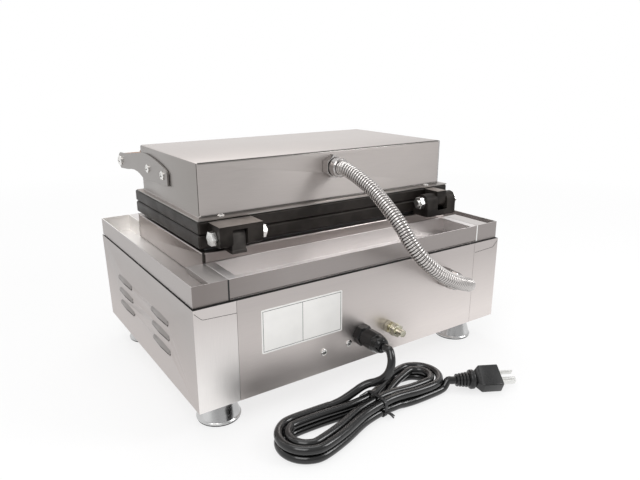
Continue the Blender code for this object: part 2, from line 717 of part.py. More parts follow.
def control_panel():
    """The slanted front sheet with its turned-in top and foot, cut for the controls."""
    half_x = CABINET_HALF - SHEET - CLEARANCE
    half_z = CABINET_HEIGHT / 2 / math.cos(PANEL_ANGLE) - PANEL_SHEET - HEM_WIDTH * math.tan(PANEL_ANGLE)
    mesh = bmesh.new()
    rows = []
    middle = -PANEL_SHEET / 2
    for up, out in ((-half_z, middle - HEM_WIDTH), (-half_z, middle), (half_z, middle),
                    (half_z, middle - HEM_WIDTH)):
        rows.append([mesh.verts.new((side * half_x, up, out)) for side in (-1, 1)])
    for low, high in zip(rows, rows[1:]):
        mesh.faces.new((low[0], low[1], high[1], high[0]))
    item = from_bmesh("control_panel", mesh)
    solidify(item, PANEL_SHEET, 0)
    for index, (x, y, radius) in enumerate((
            (-KNOB_SPACING / 2, KNOB_HEIGHT_ON_PANEL, SHAFT_RADIUS),
            (KNOB_SPACING / 2, KNOB_HEIGHT_ON_PANEL, SHAFT_RADIUS),
            (-KNOB_SPACING / 2, LAMP_HEIGHT_ON_PANEL, LAMP_RADIUS),
            (KNOB_SPACING / 2, LAMP_HEIGHT_ON_PANEL, LAMP_RADIUS))):
        hole = cylinder(f"panel_hole_{index}", radius + CLEARANCE, -PANEL_SHEET - OVERRUN, OVERRUN,
                        SMALL_ROUND_STEPS)
        hole.location = (x, y, 0)
        boolean(item, as_cutter(hole, panel))
    half_w = SWITCH_WIDTH / 2 + CLEARANCE
    half_h = SWITCH_HEIGHT / 2 + CLEARANCE
    slot = box("switch_hole", (SWITCH_X - half_w, -half_h, -PANEL_SHEET - OVERRUN),
               (SWITCH_X + half_w, half_h, OVERRUN))
    boolean(item, as_cutter(slot, panel))
    return give(item, "stainless", panel)


def bottom_plate():
    half_x = CABINET_HALF - SHEET - CLEARANCE
    front = PANEL_FOOT_Y + HEM_WIDTH + 2 * PANEL_SHEET
    rear = CABINET_REAR - SHEET - CLEARANCE
    item = box("bottom_plate", (-half_x, front, CLEARANCE), (half_x, rear, CLEARANCE + SHEET))
    for index, (x, y) in enumerate(foot_places()):
        hole = cylinder(f"foot_hole_{index}", FOOT_STUD_RADIUS + CLEARANCE, -OVERRUN, SHEET + OVERRUN,
                        SMALL_ROUND_STEPS)
        hole.location = (x, y, 0)
        boolean(item, as_cutter(hole))
    slots = []
    for column in range(BOTTOM_SLOT_COLUMNS):
        for row in (-1, 1):
            slots.append(bottom_slot(column, row))
    boolean(item, as_cutter(joined("bottom_slots", slots)))
    return give(item, "stainless", frame)


def bottom_slot(column, row):
    """One cooling slot in the bottom plate, as a box mesh."""
    mesh = bmesh.new()
    bmesh.ops.create_cube(mesh, size=1.0)
    bmesh.ops.scale(
        mesh, vec=(BOTTOM_SLOT_WIDTH, BOTTOM_SLOT_LENGTH, SHEET + 2 * OVERRUN), verts=mesh.verts)
    place = ((column - (BOTTOM_SLOT_COLUMNS - 1) / 2) * BOTTOM_SLOT_PITCH, row * BOTTOM_SLOT_REACH,
             SHEET / 2 + CLEARANCE)
    bmesh.ops.translate(mesh, vec=place, verts=mesh.verts)
    return mesh


def foot_places():
    return [(-FOOT_X, FOOT_FRONT_Y), (FOOT_X, FOOT_FRONT_Y), (-FOOT_X, FOOT_REAR_Y), (FOOT_X, FOOT_REAR_Y)]


def feet():
    lip = FOOT_LIP
    profile = [
        (0, FOOT_STUD_HEIGHT), (FOOT_STUD_RADIUS, FOOT_STUD_HEIGHT), (FOOT_STUD_RADIUS, 0),
        (FOOT_TOP_RADIUS, 0), (FOOT_TOP_RADIUS + lip / 2, -lip),
        (FOOT_BASE_RADIUS - lip / 4, -FOOT_HEIGHT + 2 * lip), (FOOT_BASE_RADIUS, -FOOT_HEIGHT + lip),
        (FOOT_BASE_RADIUS - lip / 2, -FOOT_HEIGHT), (0, -FOOT_HEIGHT),
    ]
    names = ("foot_front_right", "foot_front_left", "foot_rear_right", "foot_rear_left")
    for name, (x, y) in zip(names, foot_places()):
        item = turned(name, profile)
        item.location = (x, y, 0)
        give(item, "chrome", frame)


# Deck, drip trays and pedestal

def deck():
    """One drawn pan: a gutter down each side, and a trough at each end for a drip tray."""
    item = box("tray_deck", (-DECK_HALF_X, -DECK_HALF_Y, DECK_BOTTOM), (DECK_HALF_X, DECK_HALF_Y, DECK_TOP))
    trough = PEDESTAL_HALF_X - TROUGH_DIVIDER
    top = DECK_TOP + OVERRUN
    pockets = [
        ("gutter_left", (PEDESTAL_HALF_X, -DECK_HALF_Y + SHEET, DECK_FLOOR),
         (DECK_HALF_X - SHEET, DECK_HALF_Y - SHEET, top)),
        ("gutter_right", (-DECK_HALF_X + SHEET, -DECK_HALF_Y + SHEET, DECK_FLOOR),
         (-PEDESTAL_HALF_X, DECK_HALF_Y - SHEET, top)),
        ("trough_pocket", (-trough, -DECK_HALF_Y - OVERRUN, DECK_FLOOR),
         (trough, DECK_HALF_Y + OVERRUN, top)),
        ("pedestal_pocket", (-PEDESTAL_HALF_X - TROUGH_DIVIDER, PEDESTAL_FRONT - CLEARANCE, DECK_FLOOR),
         (PEDESTAL_HALF_X + TROUGH_DIVIDER, PEDESTAL_REAR + CLEARANCE, top)),
        ("deck_window", (-PEDESTAL_HALF_X + DECK_WINDOW_MARGIN, PEDESTAL_FRONT + DECK_WINDOW_MARGIN,
                         DECK_BOTTOM - OVERRUN),
         (PEDESTAL_HALF_X - DECK_WINDOW_MARGIN, PEDESTAL_REAR - DECK_WINDOW_MARGIN, top)),
    ]
    for name, low, high in pockets:
        boolean(item, as_cutter(box(name, low, high)))
    near, far = PEDESTAL_REAR + 2 * CLEARANCE, DECK_HALF_Y - SHEET / 2
    inner, outer = PEDESTAL_HALF_X - TROUGH_DIVIDER / 2, trough + CORNER_LEDGE_WIDTH
    for side in (-1, 1):
        spans = {"ledge": (side * inner, side * outer, DECK_TOP - SHEET),
                 "ledge_fold": (side * (outer - SHEET), side * outer, DECK_TOP - CORNER_LEDGE_DROP)}
        for name, (start, end, low_z) in spans.items():
            ledge = box(f"{name}_{side}", (min(start, end), near, low_z), (max(start, end), far, DECK_TOP))
            boolean(item, as_cutter(ledge), "UNION")
    return give(item, "stainless", frame)


def drip_tray(name, near, far, parent):
    """A channel that draws out of the deck; near is its mouth, far its wall by the pedestal."""
    half = PEDESTAL_HALF_X - TROUGH_DIVIDER - CLEARANCE
    low_y, high_y = min(near, far), max(near, far)
    floor = DECK_FLOOR + CLEARANCE
    item = box(name, (-half, low_y, floor), (half, high_y, DECK_TOP))
    wall = TRAY_SHEET
    hollow = box(f"{name}_hollow", (-half + wall, low_y + wall, floor + wall),
                 (half - wall, high_y - wall, DECK_TOP + OVERRUN))
    boolean(item, as_cutter(hollow))
    for side in (-1, 1):
        inner, outer = half - wall, half - wall - TRAY_LIP
        lip = box(f"{name}_lip_{side}", (min(side * inner, side * outer) - wall / 2, low_y, DECK_TOP - wall),
                  (max(side * inner, side * outer) + wall / 2, high_y, DECK_TOP))
        boolean(item, as_cutter(lip), "UNION")
    return give(item, "stainless", parent)


def pedestal():
    item = box("pedestal", (-PEDESTAL_HALF_X + CLEARANCE, PEDESTAL_FRONT, PEDESTAL_BOTTOM),
               (PEDESTAL_HALF_X - CLEARANCE, PEDESTAL_REAR, PEDESTAL_TOP))
    bevel(item, PEDESTAL_SHEET, 2)
    wall = PEDESTAL_SHEET
    hollow = box("pedestal_hollow",
                 (-PEDESTAL_HALF_X + wall, PEDESTAL_FRONT + wall, PEDESTAL_BOTTOM - OVERRUN),
                 (PEDESTAL_HALF_X - wall, PEDESTAL_REAR - wall, PEDESTAL_TOP - wall))
    window = box("pedestal_window",
                 (-PEDESTAL_HALF_X + PEDESTAL_LEDGE, PEDESTAL_FRONT + PEDESTAL_LEDGE, PEDESTAL_BOTTOM),
                 (PEDESTAL_HALF_X - PEDESTAL_LEDGE, PEDESTAL_REAR - PEDESTAL_LEDGE, PEDESTAL_TOP + OVERRUN))
    boolean(item, as_cutter(hollow))
    boolean(item, as_cutter(window))
    for side in (-1, 1):
        inner, outer = side * (PEDESTAL_HALF_X - PEDESTAL_CORNER_SLOT), side * (PEDESTAL_HALF_X + OVERRUN)
        slot = box(f"pedestal_slot_{side}",
                   (min(inner, outer), PEDESTAL_REAR - wall - CLEARANCE, PEDESTAL_BOTTOM - OVERRUN),
                   (max(inner, outer), PEDESTAL_REAR + OVERRUN, PEDESTAL_TOP - wall - CLEARANCE))
        boolean(item, as_cutter(slot))
    return give(item, "stainless", frame)


def plate_spacer():
    edge = SPACER_INSET
    low = (-PEDESTAL_HALF_X + edge, PEDESTAL_FRONT + edge, PEDESTAL_TOP + CLEARANCE)
    high = (PEDESTAL_HALF_X - edge, PEDESTAL_REAR - edge, LOWER_PLATE_BOTTOM - CLEARANCE)
    item = box("plate_spacer", low, high)
    hole = box("spacer_hole", (low[0] + SPACER_WIDTH, low[1] + SPACER_WIDTH, low[2] - OVERRUN),
               (high[0] - SPACER_WIDTH, high[1] - SPACER_WIDTH, high[2] + OVERRUN))
    boolean(item, as_cutter(hole))
    return give(item, "black_plastic", frame)


# Plates and moulds

def mould_places():
    return [(index - (MOULD_COUNT - 1) / 2) * MOULD_PITCH for index in range(MOULD_COUNT)]


def mould_form(x, grow, ribs, half_only=0):
    """A long mould: an oval section carried along Y with rounded ends and shallow cross ribs."""
    half_width, depth, half_length = MOULD_WIDTH / 2 + grow, MOULD_DEPTH + grow, MOULD_LENGTH / 2 + grow
    quarter = math.pi / 2
    angles = [(index + 1) * quarter / (MOULD_END_STEPS + 1) for index in range(MOULD_END_STEPS)]
    stations = [(-half_length + half_width * (1 - math.cos(angle)), math.sin(angle)) for angle in angles]
    straight = half_length - half_width
    body = [(-straight, 1.0)]
    if ribs:
        span = 2 * straight / (MOULD_RIB_COUNT + 1)
        narrow = 1 - MOULD_RIB_HEIGHT / (MOULD_WIDTH / 2)
        for index in range(1, MOULD_RIB_COUNT + 1):
            y = -straight + index * span
            body += [(y - MOULD_RIB_HALF_WIDTH, 1.0), (y, narrow), (y + MOULD_RIB_HALF_WIDTH, 1.0)]
    body.append((straight, 1.0))
    mirrored = [(-y, share) for y, share in reversed(stations)]
    rings = stations + body + mirrored
    sides = MOULD_SIDES
    mesh = bmesh.new()
    middle_y = (MOULD_FRONT + MOULD_REAR) / 2
    loops = []
    for y, share in rings:
        loops.append([
            mesh.verts.new((x + half_width * share * math.cos(2 * math.pi * k / sides),
                            middle_y + y,
                            SPLIT_Z + depth * share * math.sin(2 * math.pi * k / sides)))
            for k in range(sides)])
    for low, high in zip(loops, loops[1:]):
        for k in range(sides):
            following = (k + 1) % sides
            mesh.faces.new((low[k], low[following], high[following], high[k]))
    for y, loop in ((-half_length, loops[0]), (half_length, loops[-1])):
        tip = mesh.verts.new((x, middle_y + y, SPLIT_Z))
        for k in range(sides):
            mesh.faces.new((loop[k], loop[(k + 1) % sides], tip))
    if half_only:
        geometry = mesh.verts[:] + mesh.edges[:] + mesh.faces[:]
        cut = bmesh.ops.bisect_plane(
            mesh, geom=geometry, plane_co=(0, 0, SPLIT_Z + half_only * CLEARANCE),
            plane_no=(0, 0, half_only), clear_inner=True)
        edges = [element for element in cut["geom_cut"] if isinstance(element, bmesh.types.BMEdge)]
        bmesh.ops.edgeloop_fill(mesh, edges=edges)
    return mesh


def cooking_plate(name, low_z, high_z, side, parent):
    """A cast plate with six half moulds; side is -1 below the split and 1 above it."""
    item = box(name, (-PLATE_HALF_X, PLATE_FRONT, low_z), (PLATE_HALF_X, PLATE_REAR, high_z))
    bevel(item, PLATE_CHAMFER)
    places = mould_places()
    backs = joined(f"{name}_backs", [mould_form(x, MOULD_WALL, False, side) for x in places])
    moulds = joined(f"{name}_moulds", [mould_form(x, 0, True) for x in places])
    boolean(item, as_cutter(backs), "UNION")
    boolean(item, as_cutter(moulds))
    channels = []
    for x in places:
        mesh = bmesh.new()
        depth = MOULD_FRONT_LAND + MOULD_WIDTH / 4 + OVERRUN
        bmesh.ops.create_cone(mesh, cap_ends=True, segments=8, radius1=STICK_CHANNEL_RADIUS,
                              radius2=STICK_CHANNEL_RADIUS, depth=depth)
        bmesh.ops.rotate(mesh, cent=(0, 0, 0), matrix=Matrix.Rotation(math.pi / 2, 3, "X"),
                         verts=mesh.verts)
        bmesh.ops.translate(mesh, vec=(x, PLATE_FRONT - OVERRUN + depth / 2, SPLIT_Z), verts=mesh.verts)
        channels.append(mesh)
    boolean(item, as_cutter(joined(f"{name}_channels", channels)))
    return give(item, "cast_plate", parent)


def heater(name, height, lead_direction, parent):
    """A tubular element in lanes between the moulds, turning back beyond the mould ends."""
    lanes = [(index - (MOULD_COUNT - 2) / 2) * MOULD_PITCH for index in range(MOULD_COUNT - 1)]
    back = MOULD_REAR + MOULD_WALL + HEATER_MARGIN + HEATER_RADIUS
    front = MOULD_FRONT - MOULD_WALL - HEATER_MARGIN - HEATER_RADIUS
    bend, steps = HEATER_BEND, BEND_STEPS
    points = [(lanes[0], front, height + lead_direction * HEATER_LEAD), (lanes[0], front, height)]
    for index, (x, following) in enumerate(zip(lanes, lanes[1:])):
        end = back if index % 2 == 0 else front
        way = 1 if index % 2 == 0 else -1
        turns = [math.pi / 2 * step / (steps - 1) for step in range(steps)]
        points += [(x + bend * (1 - math.cos(turn)), end - way * bend * (1 - math.sin(turn)), height)
                   for turn in turns]
        points += [(following - bend * (1 - math.sin(turn)), end - way * bend * (1 - math.cos(turn)), height)
                   for turn in turns]
    last = back if len(lanes) % 2 else front
    points.append((lanes[-1], last, height))
    points.append((lanes[-1], last, height + lead_direction * HEATER_LEAD))
    item = tube(name, points, HEATER_RADIUS, 2)
    return give(item, "heater_steel", parent, 50)


# Lid housing, hinge and handle

def upper_housing():
    """A folded sheet hood, open below, with a flange turned out over the plate's edge."""
    wall = HOUSING_SHEET
    mesh = bmesh.new()
    bmesh.ops.create_cube(mesh, size=1.0)
    low = Vector((-HOUSING_HALF_X, HOUSING_FRONT, HOUSING_BOTTOM + wall))
    high = Vector((HOUSING_HALF_X, HOUSING_REAR, HOUSING_TOP))
    bmesh.ops.scale(mesh, vec=high - low, verts=mesh.verts)
    bmesh.ops.translate(mesh, vec=(low + high) / 2, verts=mesh.verts)
    mesh.faces.ensure_lookup_table()
    bottom = [face for face in mesh.faces if face.normal.z < -0.5]
    bmesh.ops.delete(mesh, geom=bottom, context="FACES_ONLY")
    rim = [edge for edge in mesh.edges if edge.is_boundary]
    grown = bmesh.ops.extrude_edge_only(mesh, edges=rim)["geom"]
    inset = HOUSING_FLANGE_INSET
    for vertex in (element for element in grown if isinstance(element, bmesh.types.BMVert)):
        vertex.co.x = math.copysign(PLATE_HALF_X - inset, vertex.co.x)
        vertex.co.y = PLATE_REAR - inset if vertex.co.y > 0 else HOUSING_FRONT - HOUSING_LEDGE_X
    data = bpy.data.meshes.new("upper_housing")
    mesh.to_mesh(data)
    mesh.free()
    item = new_object("upper_housing", data)
    bevel(item, HOUSING_EDGE_RADIUS, 2, 60)
    solidify(item, wall, -1)
    hole = cylinder("upper_hose_hole", CONNECTOR_SHANK_RADIUS + CLEARANCE, -wall - OVERRUN, OVERRUN,
                    SMALL_ROUND_STEPS)
    hole.rotation_euler = TO_REAR
    hole.location = (UPPER_CONNECTOR_X, HOUSING_REAR, HOUSING_TOP - UPPER_CONNECTOR_DROP)
    boolean(item, as_cutter(hole))
    return give(item, "stainless", lid)


def hinge_side(outline, x_low, x_high, name, collection=None):
    """A casting's slice: an outline in the side view about the hinge axis, between two X planes."""
    return flat_plate(name, [outline], x_high - x_low, ((x_low + x_high) / 2, HINGE_Y, HINGE_Z), SIDE_VIEW,
                      collection)


def hinge_hole(name, x_low, x_high):
    hole = cylinder(name, HINGE_BOLT_RADIUS + HINGE_BORE_CLEARANCE, x_low - OVERRUN, x_high + OVERRUN,
                    SMALL_ROUND_STEPS)
    hole.rotation_euler = ACROSS
    hole.location = (0, HINGE_Y, HINGE_Z)
    return as_cutter(hole)


def cheek_spans(middle, outer_side):
    """X spans of the two cheeks beside a knuckle, and of the knuckle itself."""
    half = KNUCKLE_WIDTH / 2
    near = half + HINGE_SIDE_GAP
    outer = sorted((middle + outer_side * near, middle + outer_side * (near + CHEEK_OUTER_WIDTH)))
    inner = sorted((middle - outer_side * near, middle - outer_side * (near + CHEEK_INNER_WIDTH)))
    return outer, inner, (middle - half, middle + half)


PLATE_FACE = CLEARANCE - HINGE_SETBACK      # rear face of the plates in the hinge's side view
WEB_LOW = KNUCKLE_RADIUS + WEB_CLEARANCE
WEB_HIGH = WEB_LOW + WEB_THICKNESS
BRACKET_LOW = PEDESTAL_TOP + CLEARANCE - HINGE_Z    # brackets end on the pedestal's edge


def lid_clevis():
    """Two cheeks under a web, bolted to the upper plate, that straddle the left knuckle."""
    outer, inner, _ = cheek_spans(HINGE_LEFT_X, 1)
    web = [(PLATE_FACE, WEB_LOW), (CHEEK_REAR, WEB_LOW), (CHEEK_REAR, WEB_HIGH), (PLATE_FACE, WEB_HIGH)]
    cheek = ([(PLATE_FACE, WEB_HIGH - WELD), (PLATE_FACE, 0), (CHEEK_CORNER / 2 - CHEEK_REAR, -CHEEK_DROP)]
             + arc((CHEEK_REAR - CHEEK_CORNER, CHEEK_CORNER - CHEEK_DROP), CHEEK_CORNER - WELD, 270, 360, 5)
             + [(CHEEK_REAR - WELD, WEB_HIGH - WELD)])
    item = hinge_side(web, inner[0], outer[1], "lid_clevis")
    for index, span in enumerate((outer, inner)):
        slab = hinge_side(cheek, span[0], span[1], f"clevis_cheek_{index}")
        boolean(item, as_cutter(slab), "UNION")
    boolean(item, hinge_hole("clevis_bore", inner[0], outer[1]))
    return give(item, "cast_hinge", lid)


def base_knuckle():
    """The left bracket: a knuckle on a stem; its foot stays below the circle that the cheeks sweep."""
    _, _, knuckle = cheek_spans(HINGE_LEFT_X, 1)
    eye = ([(PLATE_FACE, BRACKET_LOW + WELD), (KNUCKLE_RADIUS, BRACKET_LOW + WELD)]
           + arc((0, 0), KNUCKLE_RADIUS, 0, 150, 7)
           + [(PLATE_FACE, 0)])
    swing = math.hypot(CHEEK_REAR - CHEEK_CORNER, CHEEK_DROP - CHEEK_CORNER) + CHEEK_CORNER
    top, step = -swing - HINGE_SIDE_GAP, FOOT_LUG_STEP
    rear = KNUCKLE_RADIUS + step
    foot = [(PLATE_FACE, BRACKET_LOW), (rear, BRACKET_LOW), (rear, top - step), (rear - step, top),
            (PLATE_FACE, top)]
    item = hinge_side(foot, knuckle[0] - step, knuckle[1] + step, "base_knuckle")
    slab = hinge_side(eye, knuckle[0], knuckle[1], "base_knuckle_eye")
    boolean(item, as_cutter(slab), "UNION")
    boolean(item, hinge_hole("base_knuckle_bore", knuckle[0], knuckle[1]))
    return give(item, "cast_hinge", frame)


def base_clevis():
    """The right bracket: two ears on a foot, bolted to the lower plate, that straddle the lid's knuckle."""
    outer, inner, _ = cheek_spans(HINGE_RIGHT_X, -1)
    top = -KNUCKLE_RADIUS - BAND_CLEARANCE
    foot = [(PLATE_FACE, BRACKET_LOW), (EAR_RADIUS, BRACKET_LOW), (EAR_RADIUS, top), (PLATE_FACE, top)]
    ear = ([(PLATE_FACE + WELD, top - WELD), (EAR_RADIUS - WELD, top - WELD)]
           + arc((0, 0), EAR_RADIUS - WELD, 0, 180, 9)
           + [(-EAR_RADIUS, top / 2)])
    item = hinge_side(foot, outer[0], inner[1], "base_clevis")
    for index, span in enumerate((outer, inner)):
        slab = hinge_side(ear, span[0] + WELD, span[1] - WELD, f"base_ear_{index}")
        boolean(item, as_cutter(slab), "UNION")
    boolean(item, hinge_hole("base_clevis_bore", outer[0], inner[1]))
    return give(item, "cast_hinge", frame)


def lid_knuckle():
    """The right lid casting: a knuckle under a tongue that is bolted to the upper plate."""
    _, _, knuckle = cheek_spans(HINGE_RIGHT_X, -1)
    outline = ([(PLATE_FACE, WEB_HIGH), (PLATE_FACE, KNUCKLE_RADIUS / 2)]
               + arc((0, 0), KNUCKLE_RADIUS, 210, 360, 7)
               + [(KNUCKLE_RADIUS, WEB_HIGH)])
    item = hinge_side(outline, knuckle[0], knuckle[1], "lid_knuckle")
    boolean(item, hinge_hole("lid_knuckle_bore", knuckle[0], knuckle[1]))
    return give(item, "cast_hinge", lid)


def hex_prism(name, flats, bottom, top):
    """A hexagonal prism along local Z, measured across its flats."""
    return cylinder(name, flats / 2 / math.cos(math.pi / HEX_STEPS), bottom, top, HEX_STEPS)


def hinge_bolts():
    """One bolt and one nut for each hinge; the head is at the outer side."""
    for name, middle, side in (("left", HINGE_LEFT_X, 1), ("right", HINGE_RIGHT_X, -1)):
        outer, inner, _ = cheek_spans(middle, side)
        outside = outer[1] if side > 0 else outer[0]
        inside = inner[0] if side > 0 else inner[1]
        reach = abs(outside - inside) + 2 * CLEARANCE
        long_end = reach + NUT_HEIGHT + BOLT_STICK_OUT
        bolt = cylinder(f"hinge_bolt_{name}", HINGE_BOLT_RADIUS, -long_end, CLEARANCE, SMALL_ROUND_STEPS)
        head = hex_prism(f"bolt_head_{name}", BOLT_HEAD_FLATS, 0, BOLT_HEAD_HEIGHT)
        nut = hex_prism(f"hinge_nut_{name}", BOLT_HEAD_FLATS, -reach - NUT_HEIGHT, -reach)
        bore = cylinder(f"nut_bore_{name}", HINGE_BOLT_RADIUS + CLEARANCE, -long_end - OVERRUN, OVERRUN,
                        SMALL_ROUND_STEPS)
        turn = Euler((0, side * math.pi / 2, 0))
        place = (outside + side * CLEARANCE, HINGE_Y, HINGE_Z)
        for item in (bolt, head, nut, bore):
            item.rotation_euler = turn
            item.location = place
        boolean(bolt, as_cutter(head), "UNION")
        boolean(nut, as_cutter(bore))
        give(bolt, "zinc", frame)
        give(nut, "zinc", frame)


def arm_outline():
    """The handle arm in the side view, about the bar's axis: a slim neck that deepens over the hood."""
    length = HANDLE_REACH + ARM_BACK
    return arc((0, 0), ARM_TIP_RADIUS, 260, 100, 8) + [
        (length * along, HANDLE_RISE * up) for along, up in ARM_OUTLINE_SHARES]


def handle():
    for name, side in (("handle_arm_left", 1), ("handle_arm_right", -1)):
        x = side * (HOUSING_HALF_X + ARM_GAP + ARM_THICKNESS / 2)
        item = flat_plate(name, [arm_outline()], ARM_THICKNESS, (x, HANDLE_Y, HANDLE_Z), SIDE_VIEW)
        give(item, "stainless", lid)
    half = HOUSING_HALF_X
    neck = half - BAR_NECK_LENGTH
    collar = half - BAR_COLLAR_LENGTH
    profile = [(0, half), (BAR_NECK_RADIUS, half), (BAR_NECK_RADIUS, collar), (BAR_RADIUS - BAR_SWELL, neck),
               (BAR_RADIUS, neck / 2), (BAR_RADIUS, -neck / 2), (BAR_RADIUS - BAR_SWELL, -neck),
               (BAR_NECK_RADIUS, -collar), (BAR_NECK_RADIUS, -half), (0, -half)]
    item = turned("handle_bar", profile, 16)
    item.rotation_euler = ACROSS
    item.location = (0, HANDLE_Y, HANDLE_Z)
    give(item, "handle_wood", lid)


# Rear fittings and the hose

def connector(name, location, parent):
    """A hose union: hexagon, ferrule and a shank through the sheet."""
    shank = cylinder(name, CONNECTOR_SHANK_RADIUS, -CONNECTOR_SHANK_LENGTH, CONNECTOR_NUT_LENGTH / 2,
                     SMALL_ROUND_STEPS)
    nut = hex_prism(f"{name}_hex", CONNECTOR_NUT_FLATS, CLEARANCE, CONNECTOR_NUT_LENGTH)
    step = CONNECTOR_STEP
    ferrule = turned(f"{name}_ferrule", [
        (0, CONNECTOR_LENGTH), (CONNECTOR_FERRULE_RADIUS - step, CONNECTOR_LENGTH),
        (CONNECTOR_FERRULE_RADIUS, CONNECTOR_LENGTH - step),
        (CONNECTOR_FERRULE_RADIUS, CONNECTOR_NUT_LENGTH + step),
        (CONNECTOR_SHANK_RADIUS, CONNECTOR_NUT_LENGTH + step / 2),
        (CONNECTOR_SHANK_RADIUS, CONNECTOR_NUT_LENGTH / 2 + step), (0, CONNECTOR_NUT_LENGTH / 2 + step)], 16)
    for item in (shank, nut, ferrule):
        item.rotation_euler = TO_REAR
        item.location = location
    boolean(shank, as_cutter(nut), "UNION")
    boolean(shank, as_cutter(ferrule), "UNION")
    return give(shank, "chrome", parent)


def cord_gland():
    nut, tip = GLAND_NUT_LENGTH, GLAND_LENGTH
    step = GLAND_STEP
    profile = [(0, tip), (GLAND_TIP_RADIUS, tip), (GLAND_TIP_RADIUS + step / 2, tip - step),
               (GLAND_RADIUS - step / 2, nut + 3 * step), (GLAND_RADIUS, nut + 2 * step), (GLAND_RADIUS, nut)]
    shank = [(GLAND_SHANK_RADIUS, nut), (GLAND_SHANK_RADIUS, -GLAND_SHANK_LENGTH), (0, -GLAND_SHANK_LENGTH)]
    core = turned("cord_gland", profile + shank, 16)
    hexagon = hex_prism("gland_hex", GLAND_RADIUS * 2 + step, CLEARANCE, nut + step / 2)
    for item in (core, hexagon):
        item.rotation_euler = TO_REAR
        item.location = (GLAND_X, CABINET_REAR, GLAND_Z)
    boolean(core, as_cutter(hexagon), "UNION")
    return give(core, "black_plastic", frame)


def bonding_stud():
    core = cylinder("bonding_stud", STUD_RADIUS, -STUD_NUT_HEIGHT, STUD_LENGTH, SMALL_ROUND_STEPS)
    first = hex_prism("stud_nut_inner", STUD_NUT_FLATS, CLEARANCE, STUD_NUT_HEIGHT)
    second = hex_prism("stud_nut_outer", STUD_NUT_FLATS, STUD_NUT_HEIGHT * 2, STUD_NUT_HEIGHT * 3)
    washer = cylinder("stud_washer", STUD_NUT_FLATS / 2 + SHEET, STUD_NUT_HEIGHT * 2 - SHEET,
                      STUD_NUT_HEIGHT * 2 + WELD, SMALL_ROUND_STEPS)
    for item in (core, first, second, washer):
        item.rotation_euler = TO_REAR
        item.location = (STUD_X, CABINET_REAR, STUD_Z)
    for item in (first, second, washer):
        boolean(core, as_cutter(item), "UNION")
    return give(core, "brass", frame)


def metal_hose():
    """The ribbed hose: a tube whose radius steps at each rib, with a plain bore cut through it."""
    start, end = Vector(HOSE_START), Vector(HOSE_END)
    out = Vector((0, HOSE_PLAIN_END, 0))
    route = [start, start + out / 2, start + out, *HOSE_ROUTE, end + out, end + out / 2, end]
    half_ribs = smooth_route(route, HOSE_RIB_PITCH / 2)
    groove = 1 - HOSE_GROOVE / HOSE_RADIUS
    factors = [1.0 if index % 2 else groove for index in range(len(half_ribs))]
    item = tube("metal_hose", half_ribs, HOSE_RADIUS, 2, factors)
    bore_route = [start - out, *route, end - out]
    bore = tube("hose_bore", smooth_route(bore_route, HOSE_RADIUS), HOSE_BORE_RADIUS, 1)
    boolean(item, as_cutter(bore))
    print("hose length", round(path_length(half_ribs), 4), "ribs", len(half_ribs) // 2)
    return give(item, "chrome", frame)


# Controls

def knob(name, x, parent):
    """A skirted knob with a raised grip bar."""
    base = KNOB_GAP
    chamfer = KNOB_CHAMFER
    profile = [(0, KNOB_HEIGHT), (KNOB_TOP_RADIUS - chamfer, KNOB_HEIGHT),
               (KNOB_TOP_RADIUS, KNOB_HEIGHT - chamfer), (KNOB_WAIST_RADIUS, KNOB_SKIRT_HEIGHT + chamfer),
               (KNOB_SKIRT_RADIUS, KNOB_SKIRT_HEIGHT), (KNOB_SKIRT_RADIUS, base), (0, base)]
    item = turned(name, profile, 24)
    grip = box(f"{name}_grip", (-KNOB_GRIP_WIDTH / 2, -KNOB_GRIP_REACH, KNOB_HEIGHT / 2),
               (KNOB_GRIP_WIDTH / 2, KNOB_GRIP_REACH, KNOB_HEIGHT + KNOB_GRIP_DEPTH))
    bevel(grip, chamfer)
    socket = cylinder(f"{name}_socket", SHAFT_RADIUS + CLEARANCE, -OVERRUN, SHAFT_LENGTH + CLEARANCE,
                      SMALL_ROUND_STEPS)
    axis = make_empty(f"{name}_axis", (x, KNOB_HEIGHT_ON_PANEL, 0), parent=panel)
    boolean(item, as_cutter(grip), "UNION")
    boolean(item, as_cutter(socket))
    for piece in (item, grip, socket):
        piece.parent = axis
    color, roughness, metallic = FINISHES["black_plastic"]
    item.data.materials.append(make_material(name, color, roughness, metallic))
    return item


def control_body(name, x):
    """The thermostat or timer behind the panel, with the shaft that carries its knob."""
    back = -PANEL_SHEET - CLEARANCE
    half = CONTROL_BODY_WIDTH / 2
    item = box(name, (x - half, KNOB_HEIGHT_ON_PANEL - half, back - CONTROL_BODY_DEPTH),
               (x + half, KNOB_HEIGHT_ON_PANEL + half, back))
    shaft = cylinder(f"{name}_shaft", SHAFT_RADIUS, back - WELD, SHAFT_LENGTH, SMALL_ROUND_STEPS)
    shaft.location = (x, KNOB_HEIGHT_ON_PANEL, 0)
    boolean(item, as_cutter(shaft, panel), "UNION")
    return give(item, "heater_steel", panel)


def lamp(name, x, finish):
    dome = LAMP_BEZEL_HEIGHT * LAMP_DOME_SHARE
    profile = [(0, LAMP_BEZEL_HEIGHT + dome), (LAMP_RADIUS * LAMP_DOME_SHARE, LAMP_BEZEL_HEIGHT + dome / 2),
               (LAMP_RADIUS, LAMP_BEZEL_HEIGHT), (LAMP_BEZEL_RADIUS, LAMP_BEZEL_HEIGHT),
               (LAMP_BEZEL_RADIUS, CLEARANCE), (LAMP_RADIUS, CLEARANCE), (LAMP_RADIUS, -LAMP_LENGTH),
               (0, -LAMP_LENGTH)]
    item = turned(name, profile, SMALL_ROUND_STEPS)
    item.location = (x, LAMP_HEIGHT_ON_PANEL, 0)
    return give(item, finish, panel)


